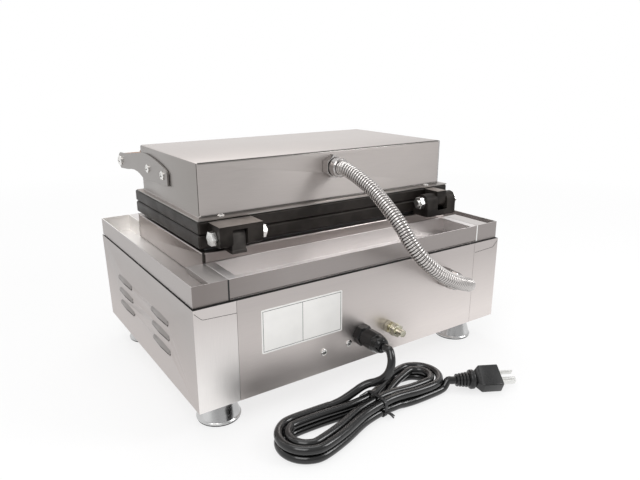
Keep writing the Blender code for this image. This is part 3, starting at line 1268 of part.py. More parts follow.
def power_switch():
    """A rocker between the cheeks of its frame, hung on an axis across the panel."""
    half_w, half_h = SWITCH_WIDTH / 2, SWITCH_HEIGHT / 2
    edge = SWITCH_FRAME
    body = box("switch_frame", (SWITCH_X - half_w, -half_h, -SWITCH_BODY_DEPTH),
               (SWITCH_X + half_w, half_h, CLEARANCE + WELD))
    rim = box("switch_rim", (SWITCH_X - half_w - edge, -half_h - edge, CLEARANCE),
              (SWITCH_X + half_w + edge, half_h + edge, SWITCH_FRAME_PROUD))
    well = box("switch_well", (SWITCH_X - half_w + edge / 2, -half_h + edge / 2, -SWITCH_BODY_DEPTH / 2),
               (SWITCH_X + half_w - edge / 2, half_h - edge / 2, SWITCH_FRAME_PROUD + OVERRUN))
    boolean(body, as_cutter(rim, panel), "UNION")
    boolean(body, as_cutter(well, panel))
    give(body, "black_plastic", panel)
    tilt = math.radians(ROCKER_ANGLE_DEG)
    axis = make_empty("rocker_axis", (SWITCH_X, 0, 0), (-tilt, 0, 0), panel)
    reach = half_h - edge / 2 - ROCKER_GAP
    low = -SWITCH_BODY_DEPTH / 4
    outline = [(-reach * math.cos(tilt) + edge / 4, low), (reach * math.cos(tilt) - edge / 4, low),
               (reach - edge / 4, reach * math.sin(tilt)), (0, 0),
               (-reach + edge / 4, reach * math.sin(tilt))]
    width = SWITCH_WIDTH - edge - 2 * ROCKER_GAP
    rocker = flat_plate("power_rocker", [outline], width, (0, 0, 0), SIDE_VIEW)
    give(rocker, "black_plastic", frame)
    rocker.parent = axis


def terminal_block():
    width, depth, height = TERMINAL_BLOCK
    base = CLEARANCE + SHEET + CLEARANCE
    x, y = GLAND_X - width / 2, CABINET_REAR - WRAP_WIDTH - depth
    item = box("terminal_block", (x, y, base), (x + width, y + depth, base + height))
    slots = []
    for index in range(TERMINAL_SLOT_COUNT):
        mesh = bmesh.new()
        bmesh.ops.create_cube(mesh, size=1.0)
        bmesh.ops.scale(mesh, vec=(TERMINAL_SLOT_WIDTH, depth + 2 * OVERRUN, 2 * TERMINAL_SLOT_DEPTH),
                        verts=mesh.verts)
        place = (x + width * (index + 1) / (TERMINAL_SLOT_COUNT + 1), y + depth / 2, base + height)
        bmesh.ops.translate(mesh, vec=place, verts=mesh.verts)
        slots.append(mesh)
    boolean(item, as_cutter(joined("terminal_slots", slots)))
    return give(item, "cream_plastic", frame)


# Mains lead: lead to the hank, tied hank, tail and plug

def ease(value, start, end):
    """A smooth step from 0 at start to 1 at end."""
    t = min(1.0, max(0.0, (value - start) / (end - start)))
    return t * t * (3 - 2 * t)


HANK_BOTTOM = FLOOR_Z + CORD_RADIUS + FLOOR_CLEARANCE
TIE_LIFT = TIE_THICKNESS + TIE_CLEARANCE


def hank_point(along, across, layer):
    """A point of the hank: along and across its axis, on layer 0 below or 1 above."""
    turn = math.radians(HANK_TURN_DEG)
    lift = TIE_LIFT * (1 - ease(abs(along), TIE_WIDTH, HANK_LIFT_RUN))
    return Vector((
        HANK_X + along * math.cos(turn) - across * math.sin(turn),
        HANK_Y + along * math.sin(turn) + across * math.cos(turn),
        HANK_BOTTOM + lift + layer * HANK_LAYER_PITCH,
    ))


def shifted(progress, before, after, when):
    return before + (after - before) * ease(progress, *when)


def hank_half(side, shifts):
    """One lobe from the tie and back; shifts hold its nest and layer before, after and when they change."""
    reach = HANK_LEFT_REACH if side > 0 else HANK_RIGHT_REACH
    outer = HANK_LEFT_RADIUS if side > 0 else HANK_RIGHT_RADIUS
    middle = reach - outer
    count = HANK_TURN_STATIONS
    half_turn = HANK_TURN_SHARE / 2
    places = [("out", share) for share in HANK_STATION_SHARES]
    places += [("turn", index / (count - 1)) for index in range(count)]
    places += [("back", share) for share in reversed(HANK_STATION_SHARES[1:])]
    points = []
    for kind, share in places:
        if kind == "out":
            progress = (share - 1) / 2
        elif kind == "turn":
            progress = half_turn * (2 * share - 1)
        else:
            progress = half_turn + (1 - half_turn) * (1 - share)
        nest = shifted(progress, *shifts["nest"])
        layer = shifted(progress, *shifts["layer"])
        radius = outer - nest * HANK_LOBE_PITCH
        waist = ((HANK_LANES - 1) / 2 - nest) * HANK_WAIST_PITCH
        if kind == "turn":
            angle = math.pi * (share - 0.5)
            along, across = middle + radius * math.cos(angle), radius * math.sin(angle)
        else:
            wide = ease(share, HANK_WAIST_SHARE, 1)
            along = middle * share
            across = (waist + (radius - waist) * wide) * (-1 if kind == "out" else 1)
        points.append(hank_point(side * along, across * side, layer))
    return points


def hank_points():
    """Four left lobes and three right ones: in along the top layer, out again along the bottom one."""
    always = (0, 1)
    lefts = [{"nest": (nest, nest, always), "layer": (layer, layer, always)}
             for nest, layer in ((0, 1), (1, 1), (1, 0), (0, 0))]
    rights = [
        {"nest": (0, 1, HANK_NARROW_SHARES), "layer": (1, 1, always)},
        {"nest": (1, 1, always), "layer": (1, 0, HANK_DROP_SHARES)},
        {"nest": (1, 0, HANK_WIDEN_SHARES), "layer": (0, 0, always)},
    ]
    points = []
    for index, left in enumerate(lefts):
        points += hank_half(1, left)
        if index < len(rights):
            points += hank_half(-1, rights[index])
    points.append(hank_point(0, (HANK_LANES - 1) / 2 * HANK_WAIST_PITCH, 0))
    return points


def least_gap(points, diameter, apart):
    """Least gap of a path to itself between stretches more than apart diameters away along it."""
    samples = 4
    fine = smooth_route(points, diameter / samples)
    skip = apart * samples
    least = None
    for index, point in enumerate(fine):
        for other in fine[index + skip:]:
            distance = (point - other).length
            if least is None or distance < least:
                least = distance
    return least - diameter


def square_end(point, direction):
    """A tube's end and a point one diameter on, with one between them, so that it meets square."""
    return [point, point + direction * CORD_RADIUS, point + direction * CORD_DIAMETER]


def cord():
    points = hank_points()
    turn = math.radians(HANK_TURN_DEG)
    print("hank gap (mm)", round(1000 * least_gap(points, CORD_DIAMETER, GAP_SKIP), 2))
    leave_turn = turn - math.radians(HANK_SPLAY_DEG)
    leaving = Vector((-math.cos(leave_turn), -math.sin(leave_turn), 0))
    first = LEAD_END_STATION
    into = (points[first + 1] - points[first - 1]).normalized()
    body = [points[first] - into * CORD_DIAMETER, *points[first:], points[-1] + leaving * HANK_END]
    give(tube("cord_hank", body, CORD_RADIUS, 1), "cord_rubber", frame, 60)
    rearward = Vector((0, 1, 0))
    exit_point = Vector((GLAND_X, CABINET_REAR + GLAND_LENGTH + CLEARANCE, GLAND_Z))
    landing = square_end(body[0] - into * CLEARANCE, -into)
    lead = [*square_end(exit_point, rearward), *LEAD_ROUTE, *reversed(landing)]
    lead_points = smooth_route(lead, CORD_RADIUS)
    give(tube("cord_lead", lead_points, CORD_RADIUS, 2), "cord_rubber", frame, 60)
    plug_turn = math.radians(PLUG_TURN_DEG)
    plug_axis = Vector((math.cos(plug_turn), math.sin(plug_turn), 0))
    roll = math.radians(PLUG_ROLL_DEG)
    rest = (PLUG_WIDTH * math.sin(roll) + PLUG_THICKNESS * math.cos(roll)) / 2
    relief_tip = Vector((PLUG_X, PLUG_Y, FLOOR_Z + rest + FLOOR_CLEARANCE))
    tail = [*square_end(body[-1] + leaving * CLEARANCE, leaving), *TAIL_ROUTE,
            *reversed(square_end(relief_tip - plug_axis * CLEARANCE, -plug_axis))]
    tail_points = smooth_route(tail, CORD_RADIUS)
    give(tube("cord_tail", tail_points, CORD_RADIUS, 2), "cord_rubber", frame, 60)
    lengths = [path_length(lead_points), path_length(body), path_length(tail_points)]
    print("cord length", round(sum(lengths), 3), [round(length, 3) for length in lengths])
    make_plug(relief_tip, plug_turn, roll)
    make_tie()


def make_plug(tip, plug_turn, roll):
    """The moulded plug along its own axis: ribbed relief, collar, flat body, two blades and the earth pin."""
    rest = make_empty("plug_place", tip, (math.pi / 2, 0, plug_turn + math.pi / 2), frame)
    plug = make_empty("plug_axis", rotation=(0, 0, roll), parent=rest)
    rib = RELIEF_LENGTH / RELIEF_RIB_COUNT
    rings = []
    for index in range(RELIEF_RIB_COUNT):
        share = index / (RELIEF_RIB_COUNT - 1)
        radius = RELIEF_TIP_RADIUS + (RELIEF_RADIUS - RELIEF_TIP_RADIUS) * share
        start = index * rib
        edge = start + rib * RELIEF_RIB_SHARE
        rings += [(radius, start), (radius, edge), (radius - RELIEF_GROOVE, edge),
                  (radius - RELIEF_GROOVE, start + rib)]
    rounding = COLLAR_ROUNDING
    collar_end = RELIEF_LENGTH + COLLAR_LENGTH
    collar = [(COLLAR_RADIUS - rounding, RELIEF_LENGTH), (COLLAR_RADIUS, RELIEF_LENGTH + rounding),
              (COLLAR_RADIUS, collar_end)]
    profile = [(0, 0)] + rings + collar + [(0, collar_end)]
    relief = turned("plug_relief", list(reversed(profile)), SMALL_ROUND_STEPS)
    chamfer = PLUG_CHAMFER
    start = collar_end + CLEARANCE
    end = start + PLUG_LENGTH
    corner = 1 / math.cos(math.pi / PLUG_SIDES)
    neck, half = PLUG_NECK_WIDTH / 2 * corner, PLUG_WIDTH / 2 * corner
    body = turned("plug_body", list(reversed([
        (0, start), (neck, start), (half, start + PLUG_SHOULDER_LENGTH), (half, end - chamfer),
        (half - chamfer, end), (0, end)])), PLUG_SIDES)
    body.data.transform(Matrix.Rotation(math.pi / PLUG_SIDES, 4, "Z"))
    body.scale = (1, PLUG_THICKNESS / PLUG_WIDTH, 1)
    give(relief, "cord_rubber", frame, 40)
    give(body, "cord_rubber", frame)
    pieces = [relief, body]
    for name, side in (("plug_blade_left", 1), ("plug_blade_right", -1)):
        x = side * BLADE_SPACING / 2
        blade = box(name, (x - BLADE_THICKNESS / 2, -BLADE_WIDTH / 2, end + CLEARANCE),
                    (x + BLADE_THICKNESS / 2, BLADE_WIDTH / 2, end + BLADE_LENGTH))
        pieces.append(give(blade, "zinc", frame))
    pin = cylinder("plug_earth_pin", GROUND_PIN_RADIUS, end + CLEARANCE, end + GROUND_PIN_LENGTH,
                   SMALL_ROUND_STEPS)
    pin.location = (0, -GROUND_PIN_DROP, 0)
    pieces.append(give(pin, "zinc", frame))
    for piece in pieces:
        piece.parent = plug


def make_tie():
    """A band round the waist: four cords below and three above, the lead passing over the free place."""
    low = HANK_BOTTOM + TIE_LIFT
    high = low + HANK_LAYER_PITCH
    pitch = HANK_WAIST_PITCH
    edge = (HANK_LANES - 1) / 2 * pitch
    corners = [(-edge, low), (edge, low), (edge, high), (pitch - edge, high)]
    outlines = []
    for radius in (CORD_RADIUS + TIE_CLEARANCE + TIE_THICKNESS, CORD_RADIUS + TIE_CLEARANCE):
        outline = []
        for (x, z), (start, end) in zip(corners, ((135, 270), (270, 360), (0, 90), (90, 135))):
            outline += arc((x, z), radius, start if start < end else start - 360, end, 4)
        outlines.append(outline)
    turn = math.radians(HANK_TURN_DEG)
    tie = flat_plate("cord_tie", outlines, TIE_WIDTH, (HANK_X, HANK_Y, 0),
                     (math.pi / 2, 0, turn + math.pi / 2))
    give(tie, "black_plastic", frame)


def build():
    side_panel("side_panel_left", 1)
    side_panel("side_panel_right", -1)
    rear_panel()
    control_panel()
    bottom_plate()
    feet()
    deck()
    rear_tray_axis = make_empty("rear_tray_axis", (0, DECK_HALF_Y, DECK_FLOOR), parent=frame)
    front_tray_axis = make_empty("front_tray_axis", (0, -DECK_HALF_Y, DECK_FLOOR), parent=frame)
    drip_tray("rear_drip_tray", DECK_HALF_Y, PEDESTAL_REAR + CLEARANCE, rear_tray_axis)
    drip_tray("front_drip_tray", -DECK_HALF_Y, PEDESTAL_FRONT - CLEARANCE, front_tray_axis)
    pedestal()
    plate_spacer()
    cooking_plate("lower_plate", LOWER_PLATE_BOTTOM, LOWER_PLATE_TOP, -1, frame)
    cooking_plate("upper_plate", UPPER_PLATE_BOTTOM, UPPER_PLATE_TOP, 1, lid)
    heater("lower_heater", LOWER_PLATE_BOTTOM - HEATER_RADIUS - CLEARANCE, -1, frame)
    heater("upper_heater", UPPER_PLATE_TOP + HEATER_RADIUS + CLEARANCE, 1, lid)
    upper_housing()
    lid_clevis()
    base_knuckle()
    base_clevis()
    lid_knuckle()
    hinge_bolts()
    handle()
    connector("hose_connector_upper", (UPPER_CONNECTOR_X, HOUSING_REAR, HOUSING_TOP - UPPER_CONNECTOR_DROP),
              lid)
    connector("hose_connector_lower", (LOWER_CONNECTOR_X, CABINET_REAR, LOWER_CONNECTOR_Z), frame)
    cord_gland()
    bonding_stud()
    metal_hose()
    knob("temperature_knob", -KNOB_SPACING / 2, panel)
    knob("timer_knob", KNOB_SPACING / 2, panel)
    control_body("thermostat_body", -KNOB_SPACING / 2)
    control_body("timer_body", KNOB_SPACING / 2)
    lamp("power_lamp", -KNOB_SPACING / 2, "lamp_green")
    lamp("heating_lamp", KNOB_SPACING / 2, "lamp_red")
    power_switch()
    terminal_block()
    cord()


build()
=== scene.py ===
# Corn dog maker seen from behind: stainless press, cast plates, ribbed hose and a tied mains lead
import json
import math

import bmesh
import bpy
import numpy as np
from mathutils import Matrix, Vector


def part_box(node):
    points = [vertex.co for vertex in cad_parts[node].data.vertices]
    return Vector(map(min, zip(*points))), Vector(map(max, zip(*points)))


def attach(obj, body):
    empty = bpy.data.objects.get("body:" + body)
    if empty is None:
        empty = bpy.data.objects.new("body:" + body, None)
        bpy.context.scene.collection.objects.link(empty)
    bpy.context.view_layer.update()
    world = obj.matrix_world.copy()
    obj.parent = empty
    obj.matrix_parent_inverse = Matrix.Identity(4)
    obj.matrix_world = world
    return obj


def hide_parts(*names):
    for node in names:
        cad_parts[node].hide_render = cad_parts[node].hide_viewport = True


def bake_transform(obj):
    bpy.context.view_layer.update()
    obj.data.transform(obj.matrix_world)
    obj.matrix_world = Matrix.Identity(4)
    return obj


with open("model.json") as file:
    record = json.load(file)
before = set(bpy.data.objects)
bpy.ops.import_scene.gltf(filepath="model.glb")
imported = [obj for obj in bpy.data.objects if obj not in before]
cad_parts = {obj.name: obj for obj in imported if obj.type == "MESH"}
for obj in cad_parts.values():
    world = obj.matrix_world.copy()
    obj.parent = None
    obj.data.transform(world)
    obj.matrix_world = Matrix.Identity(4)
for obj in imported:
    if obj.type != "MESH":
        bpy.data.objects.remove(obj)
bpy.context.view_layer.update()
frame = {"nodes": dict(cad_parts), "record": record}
bodyOf = {node: body for body, names in frame["record"]["behaviour"]["bodies"].items() for node in names}
scene = bpy.context.scene
print("frame loaded")

shift = np.array((0, -0.02065, 0.03))  # from the cabinet's own frame to the standing frame


def setUp(item, **values):
    for key, value in values.items():
        setattr(item, key, value)
    return item


def addObject(name, data):
    # every object starts at the origin, unturned and unscaled
    piece = bpy.data.objects.new(name, data)
    scene.collection.objects.link(piece)
    return piece


# Camera at the photograph's angle
cameraView = {"place": (0.3713, 0.57275, 0.3362), "turn": 0.5997, "down": 0.2898, "lens": 32.51}
cameraData = setUp(bpy.data.cameras.new("camera"), lens=cameraView["lens"], sensor_width=36, clip_start=0.01)
scene.camera = setUp(addObject("camera", cameraData), location=cameraView["place"], rotation_euler=(
    math.pi / 2 - cameraView["down"], 0, math.pi - cameraView["turn"]))
scene.view_settings.view_transform = "Standard"


# Making meshes

def cleaned(data, nearest, change, sharp, material):
    # points nearer than the given distance merge before the change; shading breaks at edges over the
    # sharp angle, in degrees
    shape = bmesh.new()
    shape.from_mesh(data)
    bmesh.ops.remove_doubles(shape, verts=shape.verts, dist=nearest)
    change(shape)
    shape.to_mesh(data)
    shape.free()
    data.materials.append(material)
    data.shade_smooth()
    data.set_sharp_from_angle(angle=math.radians(sharp))


def vectorsOf(items, key):
    values = np.zeros(len(items) * 3)
    items.foreach_get(key, values)
    return values.reshape(-1, 3)


def addMesh(name, points, faces, material, body, smooth=35, shade=None):
    # a mesh from whole arrays; doubles are merged, so seams and poles close, and faces point outwards;
    # shade gives each point a value that its material may read
    data = bpy.data.meshes.new(name)
    data.from_pydata(np.reshape(points, (-1, 3)).tolist(), [], [list(map(int, face)) for face in faces])
    if shade is not None:
        data.attributes.new("shade", "FLOAT", "POINT").data.foreach_set("value", np.ravel(shade))
    cleaned(data, 1e-6, lambda shape: bmesh.ops.recalc_face_normals(shape, faces=shape.faces),
            smooth, material)
    piece = addObject(name, data)
    if body:
        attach(piece, body)
    return piece


def gridFaces(rows, columns):
    # quads between neighbours of a grid whose last column meets its first
    i, j = np.meshgrid(np.arange(rows - 1), np.arange(columns), indexing="ij")
    k = (j + 1) % columns
    quads = np.stack([i * columns + j, i * columns + k, (i + 1) * columns + k, (i + 1) * columns + j], -1)
    return quads.reshape(-1, 4)


def closedFaces(rows, columns):
    # the grid's quads and one face across each end
    first = list(range(columns))[::-1]
    last = list(range((rows - 1) * columns, rows * columns))
    return gridFaces(rows, columns).tolist() + [first, last]


def anglesAround(steps, offset=0.0):
    return (np.arange(steps) + offset) / steps * 2 * math.pi


def unit(vector):
    vector = np.asarray(vector, float)
    return vector / np.linalg.norm(vector, axis=-1, keepdims=True)


def axesAlong(axis):
    # three square axes, the last of them the given one
    w = unit(axis)
    u = unit(np.cross((0, 0, 1) if abs(w[2]) < 0.9 else (1, 0, 0), w))
    return np.stack([u, np.cross(w, u), w])


def rounded(line, reach, steps=4):
    # each corner gives way to a parabola that leaves and meets its sides at the given reach
    p = np.asarray(line, float)
    a, b, c = p[:-2], p[1:-1], p[2:]
    before, after = a - b, c - b
    lengthBefore = np.maximum(np.linalg.norm(before[:, :2], axis=1, keepdims=True), 1e-9)
    lengthAfter = np.maximum(np.linalg.norm(after[:, :2], axis=1, keepdims=True), 1e-9)
    cut = np.minimum(reach, 0.45 * np.minimum(lengthBefore, lengthAfter))
    start, end = b + before / lengthBefore * cut, b + after / lengthAfter * cut
    t = np.linspace(0, 1, steps + 1)[None, :, None]
    curve = (1 - t) ** 2 * start[:, None] + 2 * t * (1 - t) * b[:, None] + t ** 2 * end[:, None]
    return np.vstack([p[:1], curve.reshape(-1, p.shape[1]), p[-1:]])


def addTurned(name, profile, place, axis, material, body, steps=72, flats=0, smooth=35, replaces=()):
    # radius and height along the profile, turned about the axis; a third column of 1 makes a station
    # a prism of the given number of flats, whose radius is the distance to a flat
    profile = np.asarray(profile, float)
    angle = anglesAround(steps)
    radius = np.repeat(profile[:, :1], steps, 1)
    if flats:
        part = 2 * math.pi / flats
        swell = 1 / np.cos((angle % part) - part / 2)
        radius = radius * (1 + (swell[None, :] - 1) * profile[:, 2:3])
    height = np.repeat(profile[:, 1:2], steps, 1)
    local = np.stack([radius * np.cos(angle), radius * np.sin(angle), height], -1)
    points = np.asarray(place, float) + local @ axesAlong(axis)
    piece = addMesh(name, points, gridFaces(len(points), steps), material, body, smooth)
    if replaces:
        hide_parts(*replaces)
    return piece


def splineThrough(route, spacing):
    # Catmull-Rom: each span is the cubic whose end slopes are half the step between the neighbours;
    # the line is then resampled to even steps of its own length
    p = np.asarray(route, float)
    p = np.vstack([2 * p[0] - p[1], p, 2 * p[-1] - p[-2]])
    spanSteps = 16
    t = (np.arange(spanSteps) / spanSteps)[None, :, None]
    a, b, c, d = (p[k:len(p) - 3 + k][:, None] for k in range(4))
    dense = 0.5 * (2 * b + (c - a) * t + (2 * a - 5 * b + 4 * c - d) * t ** 2
                   + (3 * b - a - 3 * c + d) * t ** 3)
    dense = np.vstack([dense.reshape(-1, 3), p[-2]])
    along = np.concatenate([[0], np.cumsum(np.linalg.norm(np.diff(dense, axis=0), axis=1))])
    even = np.linspace(0, along[-1], max(3, int(round(along[-1] / spacing)) + 1))
    return np.stack([np.interp(even, along, dense[:, k]) for k in range(3)], 1), even


def pathFrames(path):
    # tangents by central steps; the side vector turns with the path and never spins about it
    tangent = unit(np.gradient(path, axis=0))
    side = np.zeros_like(tangent)
    side[0] = axesAlong(tangent[0])[0]
    for k in range(1, len(path)):
        nearby = side[k - 1] - tangent[k] * np.dot(side[k - 1], tangent[k])
        side[k] = nearby / np.linalg.norm(nearby)
    return side, np.cross(tangent, side)


def addTube(name, path, radii, sides, material, body, smooth=60, shade=None):
    # a ring of the given radius square to the path at each of its points
    side, up = pathFrames(path)
    angle = anglesAround(sides)
    ring = np.cos(angle)[None, :, None] * side[:, None] + np.sin(angle)[None, :, None] * up[:, None]
    points = path[:, None] + ring * np.broadcast_to(radii, len(path))[:, None, None]
    shade = None if shade is None else np.repeat(shade, sides)
    return addMesh(name, points, closedFaces(len(path), sides), material, body, smooth, shade)


def addBlock(name, rings, axes, place, material, body, steps=40, smooth=35):
    # rings of rounded oblongs: height along the last axis, half width, half depth and corner radius;
    # a corner point is the inner corner plus the radius times the direction at its angle
    rings = np.asarray(rings, float)
    angle = anglesAround(steps, 0.5)
    direction = np.stack([np.cos(angle), np.sin(angle)], -1)
    inner = np.maximum(rings[:, 1:3] - rings[:, 3:4], 0)[:, None]
    flat = np.sign(direction)[None] * inner + direction[None] * rings[:, 3][:, None, None]
    height = np.broadcast_to(rings[:, 0][:, None, None], flat.shape[:2] + (1,))
    points = np.asarray(place, float) + np.concatenate([flat, height], -1) @ np.asarray(axes, float)
    return addMesh(name, points, closedFaces(len(points), steps), material, body, smooth)


def softened(nodeName, material, width=0.0004, zones=()):
    # a CAD solid's own shape with its doubles merged, flat faces rejoined and edges rounded;
    # each zone is a material and a test of the faces' middles and normals that gives it to them
    data = frame["nodes"][nodeName].data.copy()
    data.name = nodeName + "_dressed"
    data.materials.clear()
    cleaned(data, 2e-6, lambda shape: bmesh.ops.dissolve_limit(
        shape, angle_limit=math.radians(0.6), verts=shape.verts, edges=shape.edges), 32, material)
    if zones:
        middles, normals = vectorsOf(data.polygons, "center"), vectorsOf(data.polygons, "normal")
        index = np.zeros(len(middles), int)
        for k, (zoneMaterial, test) in enumerate(zones):
            data.materials.append(zoneMaterial)
            index[test(middles, normals)] = k + 1
        data.polygons.foreach_set("material_index", index)
    piece = addObject(data.name, data)
    if width:
        setUp(piece.modifiers.new("edges", "BEVEL"), width=width, segments=2, limit_method="ANGLE",
              angle_limit=math.radians(30), harden_normals=True)
    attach(piece, bodyOf[nodeName])
    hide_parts(nodeName)
    return piece


# Shader groups that several finishes share

def newGroup(name, inputs, outputs):
    tree = bpy.data.node_groups.new(name, "ShaderNodeTree")
    for socketName, value in inputs:
        kind = "NodeSocketVector" if isinstance(value, tuple) else "NodeSocketFloat"
        socket = tree.interface.new_socket(name=socketName, in_out="INPUT", socket_type=kind)
        socket.default_value = value
    for socketName in outputs:
        tree.interface.new_socket(name=socketName, in_out="OUTPUT", socket_type="NodeSocketFloat")
    return tree, tree.nodes.new("NodeGroupInput").outputs, tree.nodes.new("NodeGroupOutput")


def feed(tree, node, **inputs):
    # an input goes by its name, with _ for a space, or by its place as in0; a socket is linked to it
    for key, value in inputs.items():
        socket = node.inputs[int(key[2:]) if key[2:].isdigit() else key.replace("_", " ")]
        if isinstance(value, bpy.types.NodeSocket):
            tree.links.new(value, socket)
        else:
            socket.default_value = value


def addNode(tree, kind, settings=None, **inputs):
    node = setUp(tree.nodes.new("ShaderNode" + kind), **(settings or {}))
    feed(tree, node, **inputs)
    return node


def mathNode(tree, operation, a, b=0.0, clamp=False):
    return addNode(tree, "Math", {"operation": operation, "use_clamp": clamp}, in0=a, in1=b).outputs[0]


def addShare(tree, a, b, share, clamp=False):
    return mathNode(tree, "ADD", a, mathNode(tree, "MULTIPLY", b, share), clamp)


def ramp(tree, value, fromLow, fromHigh, toLow=0.0, toHigh=1.0):
    return addNode(tree, "MapRange", {"clamp": True}, Value=value, From_Min=fromLow, From_Max=fromHigh,
                   To_Min=toLow, To_Max=toHigh).outputs[0]


def objectSpot(tree):
    return addNode(tree, "TexCoord").outputs["Object"]


def noise(tree, spot, **settings):
    return addNode(tree, "TexNoise", Vector=spot, **settings).outputs[0]


# grain: noise drawn out along one axis by the Stretch scale, as a fine line pattern
grainTree, given, out = newGroup(
    "drawnGrain", [("Stretch", (1.0, 1.0, 1.0)), ("Scale", 60.0)], ["Value", "Height"])
drawn = addNode(grainTree, "VectorMath", {"operation": "MULTIPLY"}, in0=objectSpot(grainTree),
                in1=given["Stretch"])
fine = noise(grainTree, drawn.outputs[0], Scale=given["Scale"], Detail=5.0, Roughness=0.65)
feed(grainTree, out, Value=mathNode(grainTree, "SUBTRACT", fine, 0.5), Height=fine)

# smudge: a slow cloud that runs from Low to High, for handled and wiped faces
smudgeTree, given, out = newGroup("wipedSmudge", [("Scale", 8.0), ("Low", 0.2), ("High", 0.4)], ["Value"])
cloud = noise(smudgeTree, objectSpot(smudgeTree), Scale=given["Scale"], Detail=3.0, Roughness=0.55)
feed(smudgeTree, out, Value=ramp(smudgeTree, cloud, 0.32, 0.68, given["Low"], given["High"]))

# cast skin: fine cells over slow waves, as sand-cast or moulded faces have
castTree, given, out = newGroup("castSkin", [("Scale", 900.0), ("Wave", 60.0)], ["Height", "Mask"])
spot = objectSpot(castTree)
cells = noise(castTree, spot, Scale=given["Scale"], Detail=4.0, Roughness=0.7)
waves = noise(castTree, spot, Scale=given["Wave"], Detail=2.0)
feed(castTree, out, Height=addShare(castTree, cells, waves, 0.6), Mask=ramp(castTree, waves, 0.42, 0.62))

# faint scratches: thin level lines of a stretched noise
scratchTree, given, out = newGroup("faintScratches", [("Scale", 14.0), ("Width", 0.006)], ["Mask"])
lines = noise(scratchTree, objectSpot(scratchTree), Scale=given["Scale"], Detail=6.0, Roughness=0.75,
              Distortion=0.6)
distance = mathNode(scratchTree, "ABSOLUTE", mathNode(scratchTree, "SUBTRACT", lines, 0.5))
away = mathNode(scratchTree, "DIVIDE", distance, given["Width"])
feed(scratchTree, out, Mask=mathNode(scratchTree, "SUBTRACT", 1.0, away, True))


def groupNode(tree, group, **inputs):
    return addNode(tree, "Group", {"node_tree": group}, **inputs)


def smudge(tree, scale, low, high):
    return groupNode(tree, smudgeTree, Scale=scale, Low=low, High=high).outputs[0]


def newMaterial(name, **sockets):
    material = bpy.data.materials.new(name)
    material.use_nodes = True
    tree = material.node_tree
    shader = tree.nodes["Principled BSDF"]
    feed(tree, shader, **sockets)
    return material, tree, shader


def mixColours(tree, share, low, high):
    low, high = (c if isinstance(c, bpy.types.NodeSocket) else (*c, 1) for c in (low, high))
    return addNode(tree, "Mix", {"data_type": "RGBA"}, in0=share, in6=low, in7=high).outputs[2]


def bumpFrom(tree, height, distance, strength):
    return addNode(tree, "Bump", Height=height, Distance=distance, Strength=strength).outputs[0]


def toned(colour, share):
    return [min(1, c * share) for c in colour]


def brushedMetal(name, colour, roughness, stretch, spread=0.06, paintedReflection=None):
    # stainless sheet: drawn grain moves the colour a little and the roughness more, wiped in soft clouds;
    # the last argument is an axis, its start and end and the colour that the sheet changes to along it, a
    # painted reflection
    material, tree, shader = newMaterial(name, Metallic=1.0)
    grain = groupNode(tree, grainTree, Stretch=stretch, Scale=30.0).outputs
    scratches = groupNode(tree, scratchTree, Scale=11.0, Width=0.004).outputs[0]
    level = ramp(tree, grain["Value"], -0.25, 0.25)

    def streaked(middle):
        return mixColours(tree, level, toned(middle, 0.96), toned(middle, 1.04))

    tone = streaked(colour)
    if paintedReflection:
        axis, start, end, reflectedColour = paintedReflection
        spot = addNode(tree, "SeparateXYZ", Vector=objectSpot(tree))
        tone = mixColours(tree, ramp(tree, spot.outputs[axis], start, end), tone, streaked(reflectedColour))
    wiped = smudge(tree, 7.0, roughness - spread / 2, roughness + spread / 2)
    rough = addShare(tree, wiped, grain["Value"], 0.18)
    feed(tree, shader, Base_Color=tone, Roughness=addShare(tree, rough, scratches, 0.05, True),
         Normal=bumpFrom(tree, grain["Height"], 0.00001, 0.6))
    return material


def polishedMetal(name, colour, roughness, spread):
    material, tree, shader = newMaterial(name, Metallic=1.0)
    scratches = groupNode(tree, scratchTree, Scale=70.0, Width=0.01).outputs[0]
    feed(tree, shader, Base_Color=mixColours(tree, scratches, colour, toned(colour, 0.8)),
         Roughness=smudge(tree, 60.0, roughness, roughness + spread))
    return material


def grainySkin(name, low, high, grit, wave, depth, strength, **sockets):
    # two tones by slow waves, with grit in the bump
    material, tree, shader = newMaterial(name, **sockets)
    skin = groupNode(tree, castTree, Scale=grit, Wave=wave).outputs
    feed(tree, shader, Base_Color=mixColours(tree, skin["Mask"], low, high),
         Normal=bumpFrom(tree, skin["Height"], depth, strength))
    return material, tree, shader


def castMetal(name, dark, light, roughness, metallic, grit=1100.0, depth=0.00012, specular=0.5):
    material, tree, shader = grainySkin(name, dark, light, grit, 45.0, depth, 0.5, Metallic=metallic,
                                        Specular_IOR_Level=specular, Specular_Tint=(1.0, 0.93, 0.88, 1))
    feed(tree, shader, Roughness=smudge(tree, 35.0, roughness - 0.06, roughness + 0.08))
    return material


def mouldedPlastic(name, colour, roughness, grit=1500.0, depth=0.00003, coat=0.0, specular=0.5):
    tones = toned(colour, 0.85), toned(colour, 1.15)
    material, tree, shader = grainySkin(name, *tones, grit, 80.0, depth, 0.35, Coat_Weight=coat,
                                        Coat_Roughness=0.12, Specular_IOR_Level=specular)
    feed(tree, shader, Roughness=smudge(tree, 50.0, roughness - 0.04, roughness + 0.06))
    return material


# the grain's stretch, by the way it is drawn
alongX, alongY, alongZ = (1.5, 60.0, 60.0), (60.0, 1.5, 60.0), (60.0, 60.0, 1.5)
